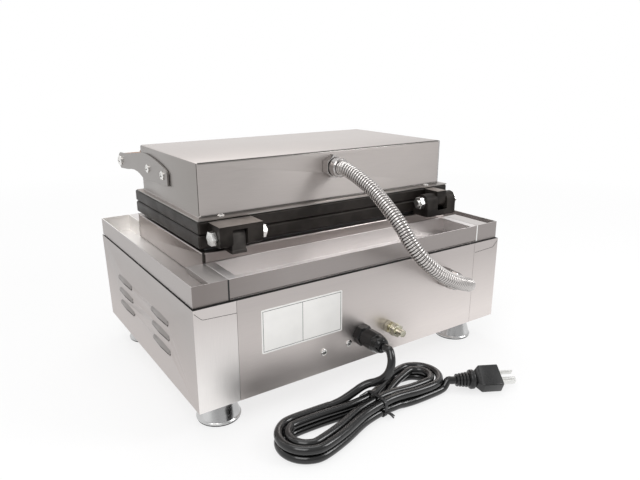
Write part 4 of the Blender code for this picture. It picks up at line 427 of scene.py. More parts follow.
# colour, roughness, stretch, spread of roughness, and an axis, two places on it and the second's colour,
# which is painted reflection
sheets = {
    # side, rear and wrap sheets lighten towards the bottom: painted reflection of the bright floor
    "side": ("brushedSideSheet", (0.42, 0.392, 0.38), 0.38, alongY, 0.06,
             ("Z", 0.12, 0.05, (0.53, 0.487, 0.47))),
    "rear": ("brushedRearSheet", (0.5, 0.462, 0.448), 0.36, alongX, 0.06,
             ("Z", 0.125, 0.045, (0.78, 0.725, 0.7))),
    "hood": ("brushedHood", (0.54, 0.5, 0.48), 0.4, alongX),
    # darker copy of the hood steel for its sides and rear edges: painted shade
    "hoodSide": ("brushedHoodSide", (0.335, 0.315, 0.3), 0.38, alongY),
    # lighter copy of the steel for the left panel's rear wrap: painted light
    "wrap": ("brushedCornerWrap", (0.62, 0.58, 0.565), 0.34, alongZ, 0.06,
             ("Z", 0.125, 0.055, (0.93, 0.9, 0.88))),
    # the deck lightens towards the front: painted light
    "deck": ("brushedDeck", (0.6, 0.57, 0.555), 0.46, alongX, 0.04,
             ("Y", 0.03, -0.09, (0.97, 0.945, 0.925))),
    # the rim is a darker copy for the deck's and trays' upright faces, darker again along x: painted shade
    "rim": ("brushedRim", (0.33, 0.302, 0.292), 0.36, alongX, 0.06, ("X", 0.1, 0.19, (0.24, 0.215, 0.205))),
    "pedestal": ("brushedPedestal", (0.44, 0.4, 0.385), 0.34, alongX),
    "tray": ("brushedTray", (0.74, 0.71, 0.7), 0.5, alongX, 0.04),
    "panel": ("brushedControlPanel", (0.52, 0.485, 0.468), 0.36, alongX),
    "arm": ("brushedArm", (0.3, 0.283, 0.27), 0.36, alongY),
    # louver hoods darker and their mouths near black: painted shade
    "louver": ("pressedLouver", (0.33, 0.31, 0.3), 0.42, alongY),
    "mouth": ("louverMouth", (0.09, 0.084, 0.08), 0.5, alongY),
}
steel = {key: brushedMetal(*sheet) for key, sheet in sheets.items()}


def shadedMetal(name, light, dark, polish):
    # metal with deep places: the shade value of a point is its depth there, and the colour darkens with it
    # as painted shade
    material, tree, shader = newMaterial(name, Metallic=1.0)
    depth = addNode(tree, "Attribute", {"attribute_name": "shade"}).outputs["Fac"]
    rough = addShare(tree, polish, depth, 0.3)
    feed(tree, shader, Base_Color=mixColours(tree, depth, light, dark),
         Roughness=mathNode(tree, "ADD", rough, smudge(tree, 60.0, 0.0, 0.1), True))
    return material


def turnedWood(name, light, dark):
    # varnished wood: growth lines from a noise drawn out along the bar, deeper tone in the pores
    material, tree, shader = newMaterial(name, Coat_Weight=0.35, Coat_Roughness=0.2)
    grain = groupNode(tree, grainTree, Stretch=(1.5, 22.0, 22.0), Scale=9.0).outputs
    pores = groupNode(tree, grainTree, Stretch=(2.0, 90.0, 90.0), Scale=16.0).outputs
    lines = addShare(tree, grain["Value"], pores["Value"], 0.6)
    feed(tree, shader, Base_Color=mixColours(tree, ramp(tree, lines, -0.22, 0.22), dark, light),
         Roughness=ramp(tree, pores["Value"], -0.2, 0.2, 0.52, 0.36),
         Normal=bumpFrom(tree, pores["Height"], 0.00008, 0.5))
    return material


def printedPlate(name, label):
    # a blank white plate with a thin dark border and one dividing line, by distance from each line
    material, tree, shader = newMaterial(name, Roughness=0.42)
    centre = [-place for place in label["centre"]]
    centred = addNode(tree, "Mapping", Vector=objectSpot(tree), Location=centre)
    spot = addNode(tree, "SeparateXYZ", Vector=centred.outputs[0]).outputs
    across, up = (mathNode(tree, "ABSOLUTE", spot[axis]) for axis in ("X", "Z"))
    halfWidth, halfHeight = label["half"]
    inset, margin = label["inset"], label["margin"]

    def line(value, at):
        away = mathNode(tree, "ABSOLUTE", mathNode(tree, "SUBTRACT", value, at))
        return mathNode(tree, "LESS_THAN", away, label["lineHalf"])

    inside = mathNode(tree, "MULTIPLY", mathNode(tree, "LESS_THAN", across, halfWidth - margin),
                      mathNode(tree, "LESS_THAN", up, halfHeight - margin))
    edge = mathNode(tree, "MAXIMUM", line(across, halfWidth - inset), line(up, halfHeight - inset))
    edge = mathNode(tree, "MAXIMUM", edge, line(spot["X"], label["divider"]))
    ink = mathNode(tree, "MULTIPLY", edge, inside)
    white = mixColours(tree, smudge(tree, 30.0, 0.0, 1.0), (0.8, 0.79, 0.77), (0.86, 0.85, 0.83))
    feed(tree, shader, Base_Color=mixColours(tree, ink, white, (0.07, 0.07, 0.07)))
    return material


def lensPlastic(name, colour):
    return grainySkin(name, toned(colour, 0.8), colour, 300.0, 700.0, 0.0002, 0.4, Roughness=0.08,
                      Coat_Weight=0.6, IOR=1.49, Transmission_Weight=0.25)[0]


def turnedChrome(name, colour, roughness):
    # lathe-turned: highlights drawn out square to the turning marks, as wedges from the middle
    material, tree, shader = newMaterial(name, Metallic=1.0, Roughness=roughness, Anisotropic=0.75)
    around = addNode(tree, "Tangent", {"direction_type": "RADIAL", "axis": "Z"})
    feed(tree, shader, Tangent=around.outputs[0],
         Base_Color=mixColours(tree, smudge(tree, 50.0, 0.0, 1.0), toned(colour, 0.86), colour))
    return material


finish = {
    "plate": castMetal("coatedPlate", (0.0085, 0.007, 0.006), (0.018, 0.0152, 0.0135), 0.42, 0.0,
                       specular=0.28),
    "hinge": castMetal("hingeCasting", (0.0065, 0.0055, 0.0048), (0.025, 0.0215, 0.019), 0.46, 0.05,
                       700.0, 0.0003, 0.2),
    # lighter copy of the casting for the base knuckle's rear faces: painted light
    "knuckle": castMetal("knuckleRearPaintedLight", (0.034, 0.031, 0.029), (0.075, 0.069, 0.064), 0.4, 0.3, 700.0,
                         0.0002),
    # lighter copy of the casting for the top faces of the lid's hinge castings: painted light
    "litHingeTop": castMetal("paintedLightHingeTop", (0.26, 0.24, 0.225), (0.36, 0.335, 0.315), 0.4, 0.8, 700.0,
                          0.0001),
    "zinc": polishedMetal("zincPlating", (0.84, 0.84, 0.82), 0.26, 0.08),
    "foot": turnedChrome("turnedFootChrome", (0.6, 0.6, 0.6), 0.16),
    "union": polishedMetal("unionNickel", (0.44, 0.42, 0.41), 0.14, 0.05),
    # darker in the hose's grooves and the screws' cross recesses: painted shade
    "hose": shadedMetal("hoseSteel", (0.56, 0.535, 0.52), (0.022, 0.019, 0.018), 0.15),
    "screw": shadedMetal("screwZinc", (0.82, 0.81, 0.79), (0.035, 0.034, 0.033), 0.2),
    "brass": polishedMetal("palePlatedStud", (0.74, 0.71, 0.58), 0.2, 0.08),
    "black": mouldedPlastic("blackMoulding", (0.02, 0.02, 0.021), 0.38),
    "gland": mouldedPlastic("glandNylon", (0.0035, 0.0035, 0.0035), 0.12, coat=0.1, specular=0.32),
    "knob": mouldedPlastic("knobPhenolic", (0.016, 0.016, 0.017), 0.26, coat=0.4),
    "cord": mouldedPlastic("cordSheath", (0.006, 0.006, 0.0062), 0.19, 700.0, 0.00002, 0.3, 0.45),
    "plug": mouldedPlastic("plugMoulding", (0.01, 0.01, 0.0104), 0.3, 900.0, 0.00003, 0.1, 0.45),
    "element": polishedMetal("elementSheath", (0.22, 0.21, 0.2), 0.36, 0.1),
    "cream": mouldedPlastic("terminalMoulding", (0.62, 0.6, 0.54), 0.5),
    # dark pads, fold lines and seams, and painted shade in the gap under the deck
    "sealAndShade": mouldedPlastic("darkSealAndPaintedShade", (0.008, 0.008, 0.008), 0.6),
    # dark lines at the hood's corner joints, and painted shade over its top edge and flange foot
    "seam": mouldedPlastic("darkJointAndPaintedShade", (0.05, 0.045, 0.04), 0.6),
    "mark": mouldedPlastic("whiteMarking", (0.75, 0.75, 0.73), 0.5),
    "print": mouldedPlastic("blackPrint", (0.02, 0.02, 0.02), 0.5),
    "wood": turnedWood("varnishedBar", (0.36, 0.17, 0.065), (0.16, 0.065, 0.025)),
    "green": lensPlastic("greenLens", (0.03, 0.42, 0.08)),
    "red": lensPlastic("redLens", (0.6, 0.03, 0.02)),
}
print("finishes made")


# Mains lead: out of the gland, through a hank of four left and three right lobes, to the plug
lead = {
    "diameter": 0.0084, "clearance": 0.0003,
    "exit": (0.014, 0.1485 + 0.0382, 0.0315),
    "route": [(0.0148, 0.1985, 0.0292), (0.0168, 0.2025, 0.0235), (0.0193, 0.2038, 0.016),
              (0.022, 0.2022, 0.009), (0.0252, 0.198, 0.003), (0.0292, 0.193, -0.001),
              (0.0345, 0.1882, -0.0036), (0.0405, 0.1852, -0.0066), (0.048, 0.1842, -0.0098),
              (0.057, 0.1838, -0.0128), (0.067, 0.1838, -0.015), (0.077, 0.1831, -0.0162)],
    "hankAt": (0.035, 0.197), "hankTurn": math.radians(6.2), "waistPitch": 0.0091, "lobePitch": 0.0094,
    "layerPitch": 0.0091, "reach": {1: 0.1135, -1: 0.0925}, "outer": {1: 0.0262, -1: 0.0232},
    "bottom": -0.03 + 0.0042 + 0.0002, "tieLift": 0.0014, "liftRun": (0.004, 0.055), "end": 0.012,
    "splay": math.radians(7.0), "sides": 20, "spacing": 0.0016,
    "tail": [(0.004, 0.2112, -0.0254), (-0.008, 0.2126, -0.0256), (-0.021, 0.2132, -0.0256),
             (-0.034, 0.2134, -0.0256), (-0.043, 0.2134, -0.0254), (-0.05, 0.2132, -0.0241)],
    "plugTip": (-0.0638, 0.2171, -0.03 + 0.0119 + 0.0002), "plugTurn": math.radians(152.0),
}


def ease(value, start, end):
    # smooth step: three squares less two cubes of the share of the way from start to end
    t = np.clip((np.asarray(value, float) - start) / (end - start), 0, 1)
    return t * t * (3 - 2 * t)


def hankPoint(along, across, layer):
    # along and across the hank's own axis; cords ride up over the tie near the waist
    turn = lead["hankTurn"]
    lift = lead["tieLift"] * (1 - ease(np.abs(along), *lead["liftRun"]))
    x = lead["hankAt"][0] + along * math.cos(turn) - across * math.sin(turn)
    y = lead["hankAt"][1] + along * math.sin(turn) + across * math.cos(turn)
    return np.stack([x, y, lead["bottom"] + lift + layer * lead["layerPitch"]], -1)


def hankLobe(side, nest, layer):
    # straight runs that widen from the waist into a half turn, as one sweep of progress from -0.5 to 1
    runs, turnShare, half = np.array((0, 0.3, 0.68)), np.arange(7) / 6, 0.15
    kind = np.array([0] * 3 + [1] * 7 + [2] * 2)
    share = np.concatenate([runs, turnShare, runs[:0:-1]])
    progress = np.select([kind == 0, kind == 1], [(share - 1) / 2, half * (2 * share - 1)],
                         half + (1 - half) * (1 - share))
    nests = nest[0] + (nest[1] - nest[0]) * ease(progress, *nest[2])
    layers = layer[0] + (layer[1] - layer[0]) * ease(progress, *layer[2])
    radius = lead["outer"][side] - nests * lead["lobePitch"]
    middle = lead["reach"][side] - lead["outer"][side]  # of the half turn
    waist = (1.5 - nests) * lead["waistPitch"]
    angle = math.pi * (share - 0.5)
    wide = ease(share, 0.12, 1)
    runAcross = (waist + (radius - waist) * wide) * np.where(kind == 0, -1, 1)
    along = np.where(kind == 1, middle + radius * np.cos(angle), middle * share)
    across = np.where(kind == 1, radius * np.sin(angle), runAcross)
    return hankPoint(side * along, across * side, layers)


def levelWay(turn):
    return np.array((math.cos(turn), math.sin(turn), 0))


def leadPath():
    # the lead becomes the hank's outer cord at the third place of its first run
    always, turn = (0, 1), lead["hankTurn"]
    lefts = [((n, n, always), (k, k, always)) for n, k in ((0, 1), (1, 1), (1, 0), (0, 0))]
    rights = [((0, 1, (0.5, 0.98)), (1, 1, always)), ((1, 1, always), (1, 0, (0.22, 0.72))),
              ((1, 0, (-0.05, 0.42)), (0, 0, always))]
    lobes = []
    for k, left in enumerate(lefts):
        lobes.append(hankLobe(1, *left))
        if k < len(rights):
            lobes.append(hankLobe(-1, *rights[k]))
    hank = np.vstack(lobes + [hankPoint(0.0, 1.5 * lead["waistPitch"], 0)[None]])
    into = unit(hank[3] - hank[1])
    leaving = -levelWay(turn - lead["splay"])
    d, gap = lead["diameter"], lead["clearance"]
    body = np.vstack([hank[2] - into * d, hank[2:], hank[-1] + leaving * lead["end"]])
    out = np.array((0, 1, 0))
    start = np.array(lead["exit"]) + out * gap
    plugAxis, tip = levelWay(lead["plugTurn"]), np.array(lead["plugTip"])

    def square(point, way):
        return np.array([point, point + way * d / 2, point + way * d])

    route = np.vstack([square(start, out), lead["route"], square(body[0] - into * gap, -into)[::-1][:2],
                       body, square(body[-1] + leaving * gap, leaving)[1:], lead["tail"],
                       square(tip - plugAxis * gap, -plugAxis)[::-1]])
    return route + shift, tip + shift, plugAxis, start + shift


route, plugTip, plugAxis, leadStart = leadPath()
path, alongLead = splineThrough(route, lead["spacing"])
cordPiece = addTube("mains_lead", path, lead["diameter"] / 2, lead["sides"], finish["cord"], "base", 80)
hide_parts("cord_lead", "cord_hank", "cord_tail")

plug = {"reliefLength": 0.0135, "reliefTip": 0.0066, "reliefEnd": 0.0084, "ribs": 4, "groove": 0.0017,
        "collar": 0.0104, "collarLength": 0.007, "bodyLength": 0.0285, "halfWidth": 0.013,
        "halfDepth": 0.0069, "neck": (0.0078, 0.0046), "shoulder": 0.007, "round": 0.0011,
        "roll": math.radians(26.0), "stationsPerRib": 12, "steepness": 1.1, "collarRound": 0.0014,
        "collarRise": 0.0016, "collarFall": 0.0008, "gap": 0.0001, "bend": 0.0006}
reliefLength, reliefEnd, neck = plug["reliefLength"], plug["reliefEnd"], plug["neck"]
# ribs: the radius drops into a flat-bottomed groove by a clipped cosine, once for each rib
stations = np.linspace(0, 1, plug["ribs"] * plug["stationsPerRib"] + 1)
wave = np.cos((stations * plug["ribs"] + 0.25) * 2 * math.pi)
wave = np.clip(0.5 + plug["steepness"] * wave, 0, 1)
radius = plug["reliefTip"] + (reliefEnd - plug["reliefTip"]) * stations - plug["groove"] * wave
collarEnd = reliefLength + plug["collarLength"]
collar = rounded([(reliefEnd - 0.001, reliefLength), (plug["collar"], reliefLength + plug["collarRise"]),
                  (plug["collar"], collarEnd - plug["collarFall"]), (neck[0], collarEnd),
                  (0, collarEnd)], plug["collarRound"], 5)
profile = np.vstack([[(0, 0.0)], np.stack([radius, stations * reliefLength], 1), collar])
reliefPiece = addTurned("lead_relief", profile, plugTip, plugAxis, finish["plug"], "base", 40, 0, 50,
                        ["plug_relief"])
away = np.array((-plugAxis[1], plugAxis[0], 0))
roll = plug["roll"]
plugAxes = np.stack([away * math.cos(roll) + np.array((0, 0, math.sin(roll))),
                     -away * math.sin(roll) + np.array((0, 0, math.cos(roll))), plugAxis])
begin = collarEnd + plug["gap"]
end = begin + plug["bodyLength"] + 2 * plug["gap"]
half, depth, edge, shoulder = plug["halfWidth"], plug["halfDepth"], plug["round"], begin + plug["shoulder"]
plugPiece = addBlock("mains_plug", [
    (begin, neck[0] - edge, neck[1] - edge, 0.001), (begin + edge / 2, *neck, 0.0016),
    (shoulder - plug["bend"], half - 0.0003, depth - 0.0002, edge),
    (shoulder + plug["bend"], half, depth, edge), (end - edge, half, depth, edge),
    (end - edge * 0.35, half - edge * 0.3, depth - edge * 0.3, edge * 0.9),
    (end, half - edge, depth - edge, 0.0005)],
    plugAxes, plugTip, finish["plug"], "base", 64, 42)
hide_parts("plug_body")
for name in ("plug_blade_left", "plug_blade_right", "plug_earth_pin", "cord_tie"):
    softened(name, finish["black"] if name == "cord_tie" else finish["zinc"], 0.0003)
tieLow, tieHigh = np.array(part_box("cord_tie"))
tieEnds = {"tie_end_left": (-0.007, 0.0062, -0.004), "tie_end_right": (-0.0105, 0.003, -0.0046)}
tieWire = {"radius": 0.0008, "bow": (0, 0, 0.0022), "sides": 10}
tieFoot = np.array(((tieLow[0] + tieHigh[0]) / 2, tieHigh[1] - 0.0012, 0.006))
for name, reach in tieEnds.items():
    # the twisted ends of the tie: a straight reach with half a sine of bow above it
    share = np.linspace(0, 1, 12)[:, None]
    wire = tieFoot + np.array(reach) * share + np.array(tieWire["bow"]) * np.sin(share * math.pi)
    addTube(name, wire, tieWire["radius"], tieWire["sides"], finish["black"], "base")
print("mains lead made", round(float(alongLead[-1]), 3), "m")


# Ribbed hose from the lid's union to the cabinet's
hose = {
    "radius": 0.0077, "groove": 0.0013, "grooveWidth": 0.14, "crown": 0.0003, "pitch": 0.0029,
    "stationsPerRib": 10, "sides": 28, "plainEnd": 0.004,
    "bendFrom": (0.0195, 0.0896, 0.2473), "bendTo": (-0.0443, 0.1918, 0.2181),
    "upper": (0.005, 0.0786 + 0.0203 + 0.0003, 0.2032), "lower": (-0.111, 0.1485 + 0.0203 + 0.0003, 0.0702),
    "route": [(0.0042, 0.108, 0.2023), (0.001, 0.122, 0.1965), (-0.0035, 0.142, 0.1855),
              (-0.0065, 0.163, 0.17), (-0.0095, 0.179, 0.155), (-0.0135, 0.19, 0.1395),
              (-0.02, 0.1985, 0.126), (-0.03, 0.204, 0.1145), (-0.043, 0.207, 0.104),
              (-0.058, 0.208, 0.0955), (-0.074, 0.2065, 0.0885), (-0.0895, 0.201, 0.082),
              (-0.102, 0.192, 0.076), (-0.1092, 0.1805, 0.0715)],
}


def makeHose():
    # radius falls into a narrow bell-shaped groove once per pitch of the path's length
    out = np.array((0, hose["plainEnd"], 0))
    upper, lower = np.array(hose["upper"]), np.array(hose["lower"])
    line = np.vstack([upper, upper + out / 2, upper + out, hose["route"],
                      lower + out, lower + out / 2, lower])
    path, along = splineThrough(line + shift, hose["pitch"] / hose["stationsPerRib"])
    phase = (along / hose["pitch"]) % 1 - 0.5
    dip = np.exp(-(phase / hose["grooveWidth"]) ** 2)
    crown = 0.12 * np.cos(phase * 2 * math.pi) + 0.12
    radii = hose["radius"] - hose["groove"] * dip - hose["crown"] * crown
    # painted shade in the grooves
    shade = np.clip(dip * 1.15 - 0.1, 0, 1)
    piece = addTube("ribbed_hose", path, radii, hose["sides"], finish["hose"], None, 75, shade)
    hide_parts("metal_hose")
    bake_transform(piece)


makeHose()
print("hose made")

# Solids whose own shape is right: softened edges and the right metal; some faces take painted light and
# shade by where they are and which way they face, and the lamps their coloured lenses
faceTests = {  # by the middles m and the normals n of the faces
    # the deck's and trays' upright faces and the deck's sides take darker copies of the steel: painted shade
    "upright": lambda m, n: ((m[:, 1] > 0.1243) | (m[:, 1] < -0.1657)) & (abs(n[:, 1]) > 0.7),
    "deckSide": lambda m, n: (abs(m[:, 0]) > 0.1993) & (abs(n[:, 0]) > 0.7),
    # the deck's foot and the tops of the sheets in the gap under it are painted dark: painted shade
    "deckFoot": lambda m, n: (n[:, 2] < -0.9) & (m[:, 2] < 0.1345),
    "sheetTop": lambda m, n: (n[:, 2] > 0.2) & (m[:, 2] > 0.1325),
    # castings' top faces and the base knuckle's rear faces take lighter copies: painted light
    "castingTop": lambda m, n: (n[:, 2] > 0.9) & (m[:, 2] > 0.1925),
    "castingRear": lambda m, n: n[:, 1] > 0.2,
    # the rear wrap takes a lighter copy, and the louvers and their mouths darker ones: painted light and
    # painted shade
    "wrap": lambda m, n: (n[:, 1] > 0.9) & (m[:, 1] > 0.12) & (abs(m[:, 0]) < 0.2009),
    "louver": lambda m, n: (abs(m[:, 0]) > 0.2014) & (n[:, 2] > -0.3),
    "mouth": lambda m, n: (abs(m[:, 0]) > 0.2014) & (n[:, 2] <= -0.3),
    # the hood's sides, its rounded rear edge and the flange behind it, which take a darker copy of the hood
    # steel as painted shade
    "hoodShade": lambda m, n: (abs(n[:, 0]) > 0.7) | ((n[:, 1] > 0.3) & (n[:, 2] > 0.3))
    | ((m[:, 2] < 0.1978) & (m[:, 1] > 0.055) & (n[:, 1] + n[:, 2] > 0.5)),
}
shaded = {
    "tray_deck": [(steel["side"], "deckSide"), (steel["rim"], "upright"), (finish["sealAndShade"], "deckFoot")],
    "rear_panel": [(finish["sealAndShade"], "sheetTop")],
    "rear_drip_tray": [(steel["rim"], "upright")],
    "front_drip_tray": [(steel["rim"], "upright")],
    "base_knuckle": [(finish["knuckle"], "castingRear")],
    "upper_housing": [(steel["hoodSide"], "hoodShade")],
    "lid_clevis": [(finish["litHingeTop"], "castingTop")],
    "lid_knuckle": [(finish["litHingeTop"], "castingTop")],
}
# the left panel's rear wrap takes the lighter wrap copy as painted light, the right one the rear sheet's
# tone
for side, wrap in (("left", "wrap"), ("right", "rear")):
    shaded["side_panel_" + side] = [(steel[wrap], "wrap"), (steel["louver"], "louver"),
                                    (steel["mouth"], "mouth"), (finish["sealAndShade"], "sheetTop")]
zones = {name: [(material, faceTests[test]) for material, test in rows] for name, rows in shaded.items()}
panel = {"centre": np.array((0, -0.16045, 0.08175)), "out": np.array((0, -0.99499, -0.09998)),
         "up": np.array((0, -0.09998, 0.99499)), "spacing": 0.043, "lampUp": 0.032, "knobUp": -0.004,
         "lensRadius": 0.0056, "lensOut": 0.0018}


def onPanel(x, up, out=0.0):
    return panel["centre"] + np.array((x, 0, 0)) + panel["up"] * up + panel["out"] * out


for name, side, colour in (("power_lamp", -1, "green"), ("heating_lamp", 1, "red")):
    centre = onPanel(side * panel["spacing"], panel["lampUp"])

    def lens(m, n, centre=centre):
        # inside the lens' radius about the lamp's axis, and further out than its collar
        along = (m - centre) @ panel["out"]
        aside = np.linalg.norm(m - centre - along[:, None] * panel["out"], axis=1)
        return (aside < panel["lensRadius"]) & (along > panel["lensOut"])

    zones[name] = [(finish[colour], lens)]

dressing = {  # the nodes' names, their finish and the width of their rounded edges
    "side_panel_left side_panel_right": (steel["side"], 0),
    "rear_panel bottom_plate": (steel["rear"], 0),
    "upper_housing": (steel["hood"], 0.0003),
    "tray_deck": (steel["deck"], 0.0007),
    "rear_drip_tray front_drip_tray": (steel["tray"], 0.0005),
    "pedestal": (steel["pedestal"], 0.0004),
    "control_panel": (steel["panel"], 0.0003),
    "handle_arm_left handle_arm_right": (steel["arm"], 0.0004),
    "lower_plate upper_plate": (finish["plate"], 0.0005),
    "lid_clevis lid_knuckle base_knuckle base_clevis": (finish["hinge"], 0.0008),
    "plate_spacer switch_frame power_rocker": (finish["black"], 0.0003),
    "lower_heater upper_heater thermostat_body timer_body": (finish["element"], 0),
    "terminal_block": (finish["cream"], 0.0004),
    "hinge_bolt_left hinge_bolt_right hinge_nut_left hinge_nut_right": (finish["zinc"], 0.0003),
    "hose_connector_upper hose_connector_lower": (finish["union"], 0.0003),
    "bonding_stud": (finish["brass"], 0.0002),
    "temperature_knob timer_knob": (finish["knob"], 0.0004),
    "power_lamp heating_lamp": (finish["black"], 0.0002),
}
for names, (material, width) in dressing.items():
    for name in names.split():
        softened(name, material, width, zones.get(name, ()))
print("solids dressed")

# Handle bar: a turned grip, wider in the middle, with a collar and a neck at each end
bar = {"axis": (0, -0.18285, 0.2222), "half": 0.1614, "radius": 0.0122, "neck": 0.009, "swell": 0.0018,
       "neckLength": 0.0244, "collar": 0.0036, "edge": 0.0006}
end, neck, full, edge = bar["half"], bar["neck"], bar["radius"], bar["edge"]
shoulder = end - bar["neckLength"]
inner = shoulder - bar["collar"]
along = np.linspace(-1, 1, 41) * inner
grip = full - bar["swell"] * (along / along[-1]) ** 2
ends = [(0, end), (neck - edge, end), (neck, end - edge), (neck, shoulder + edge),
        (full - 0.0004, shoulder), (full - 0.0002, shoulder - 0.001), (full - 0.0004, inner + edge)]
profile = np.vstack([rounded([(r, -h) for r, h in ends], edge, 3), np.stack([grip, along], 1),
                     rounded(ends[::-1], edge, 3)])
addTurned("wooden_grip", profile, bar["axis"], (1, 0, 0), finish["wood"], bodyOf["handle_bar"], 64, 0, 50,
          ["handle_bar"])

# Cord gland: hexagon nut on the sheet, faceted cap and a rounded mouth
gland = {"place": (0.014, 0.12785 + 0.0002, 0.0615), "nut": 0.0101, "nutLength": 0.009, "cap": 0.01,
         "length": 0.0382, "mouth": 0.0072, "hole": 0.0045, "throat": 0.0088, "throatLength": 0.0018,
         "capFrom": 0.0019, "edge": 0.0006, "chamfer": 0.0008, "taper": (0.0105, 0.0095, 0.0045),
         "flare": 0.0016}
nut, nutEnd, throat, edge, chamfer = (
    gland[key] for key in ("nut", "nutLength", "throat", "edge", "chamfer"))
throatEnd = nutEnd + gland["throatLength"]
profile = rounded([(0, 0, 0), (nut, 0, 0.6), (nut, edge, 1), (nut, nutEnd - chamfer, 1),
                   (nut - 0.0002, nutEnd, 0.5), (throat, nutEnd + 0.0004, 0),
                   (throat, throatEnd, 0), (0, throatEnd, 0)], 0.0005, 3)
addTurned("gland_nut", profile, gland["place"], (0, 1, 0), finish["gland"], "base", 96, 6, 30,
          ["cord_gland"])
start, stop, cap, mouth = nutEnd + gland["capFrom"], gland["length"], gland["cap"], gland["mouth"]
taper = [stop - below for below in gland["taper"]]
profile = rounded([(0, start, 0), (cap - edge, start, 0.2), (cap, start + chamfer, 1),
                   (cap, taper[0], 1), (cap - 0.0004, taper[1], 0.4),
                   (mouth + gland["flare"], taper[2], 0), (mouth, stop - chamfer, 0),
                   (gland["hole"] + edge, stop, 0), (0, stop, 0)], 0.001, 4)
addTurned("gland_cap", profile, gland["place"], (0, 1, 0), finish["gland"], "base", 120, 12, 30)
print("handle and gland made")


# Pan screws: a shallow dome with a cross recess, in shares of the screw's radius
head = {"rings": 22, "steps": 96, "dome": 0.52, "bow": 0.93, "rim": 0.06, "spin": 0.3,
        "crossHalf": 0.15, "crossSlope": 0.05, "crossReach": 0.62, "crossEnd": 0.1, "crossDepth": 0.34}


def addScrew(name, place, axis, radius, body):
    # height is a dome less a cross: depth where the nearer of |x| and |y| is small and the reach is short
    reach = np.concatenate([np.linspace(0.02, 0.97, head["rings"]), [1.0, 1.0]])[:, None]
    angle = anglesAround(head["steps"])
    x, y = reach * np.cos(angle + head["spin"]), reach * np.sin(angle + head["spin"])
    dome = head["dome"] * np.sqrt(np.clip(1 - (reach * head["bow"]) ** 2, 0, 1)) + head["rim"]
    across = np.clip((head["crossHalf"] - np.minimum(np.abs(x), np.abs(y))) / head["crossSlope"], 0, 1)
    cross = across * np.clip((head["crossReach"] - reach) / head["crossEnd"], 0, 1)
    height = dome - head["crossDepth"] * cross
    height[-1] = 0
    cross[-2:] = 0
    local = np.stack([reach * np.cos(angle), reach * np.sin(angle), height], -1) * radius
    points = np.asarray(place, float) + local @ axesAlong(axis)
    # the cross's depth goes in as shade, for painted shade in the recess
    addMesh(name, points, closedFaces(len(points), head["steps"]), finish["screw"], body, 28, cross)


# outer faces that carry screws and the label, and the place of the folds on the rear one
wall = {"rear": 0.12785, "arm": 0.1642, "fold": 0.12788}
screws = {
    "rear_screw_one": ((0.0623, wall["rear"], 0.0533), (0, 1, 0), 0.0036, "base"),
    "rear_screw_two": ((0.03, wall["rear"], 0.0545), (0, 1, 0), 0.0036, "base"),
    "flange_screw_left": ((0.1398, 0.0608, 0.1962), (0, 0, 1), 0.0034, "lid"),
    "flange_screw_right": ((-0.1369, 0.0622, 0.1962), (0, 0, 1), 0.0034, "lid"),
}
for side in (1, -1):
    for k, (y, z) in enumerate(((-0.0768, 0.2263), (-0.0297, 0.2253))):
        screws[f"arm_screw_{side}_{k}"] = ((side * wall["arm"], y, z), (side, 0, 0), 0.0048, "lid")
    screws[f"bar_screw_{side}"] = ((side * wall["arm"], *bar["axis"][1:]), (side, 0, 0), 0.0064, "lid")
for name, (place, axis, radius, body) in screws.items():
    addScrew(name, place, axis, radius, body)

# Label: a blank plate with a border and one dividing line
label = {"centre": (0.087, wall["rear"], 0.09475), "half": (0.0475, 0.02275), "thick": 0.0004,
         "divider": 0.001, "lineHalf": 0.00028, "inset": 0.0019, "margin": 0.0016}
w, h, t = *label["half"], label["thick"]
addBlock("blank_label", [(0.00005, w, h, 0.0016), (t - 0.0001, w, h, 0.0016),
                         (t, w - 0.0001, h - 0.0001, 0.0015)],
         [(1, 0, 0), (0, 0, 1), (0, 1, 0)], label["centre"], printedPlate("blankLabel", label), "base", 64)

# Folds and seams: thin dark lines where sheets meet at the rear corners, with a painted highlight at the
# tray's right end and painted shade along the hood's edges and under the deck
folds = {
    "left": [(0.2002, 0.13), (0.193, 0.1228), (0.1592, 0.1213)],
    "right": [(-0.2002, 0.13), (-0.193, 0.1228), (-0.1608, 0.1213)],
}
foldLine = {"round": 0.0018, "radius": 0.00022, "sides": 8}
for name, line in folds.items():
    fold = rounded([(x, z, wall["fold"]) for x, z in line], foldLine["round"])[:, [0, 2, 1]]
    addTube("tab_" + name, fold, foldLine["radius"], foldLine["sides"], finish["sealAndShade"], "base")
upright = np.eye(3)
seamEdge = {"heights": (0.134, 0.1539), "y": 0.1244, "half": 0.0006}
trayLow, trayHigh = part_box("rear_drip_tray")
# the left strip is a dark seam; the right one, bright zinc on the tray's rounded end, is a painted highlight
traySeams = {"tray_seam_left": (trayHigh[0] + 0.0004, 0.0008, finish["sealAndShade"]),
             "tray_seam_right": (trayLow[0] - 0.0005, 0.0009, finish["zinc"])}
for name, (x, width, material) in traySeams.items():
    addBlock(name, [(height, width, seamEdge["half"], 0.0001) for height in seamEdge["heights"]], upright,
             (x, seamEdge["y"], 0), material, "base", 8)
# dark lines at the hood's corner joints; the top and foot lines are painted shade over the rounded edges
hoodSeams = {  # the two ends and the radius
    "left": [(0.1612, 0.05775, 0.1968), (0.1612, 0.05775, 0.2494), 0.00028],
    "right": [(-0.1612, 0.05775, 0.1968), (-0.1612, 0.05775, 0.2494), 0.00028],
    "top": [(-0.16, 0.05745, 0.24915), (0.16, 0.05745, 0.24915), 0.00045],
    "foot": [(-0.16, 0.05855, 0.19735), (0.16, 0.05855, 0.19735), 0.00035],
}
for name, (start, end, radius) in hoodSeams.items():
    addTube("hood_seam_" + name, np.linspace(start, end, 12), radius, 8, finish["seam"], "lid")
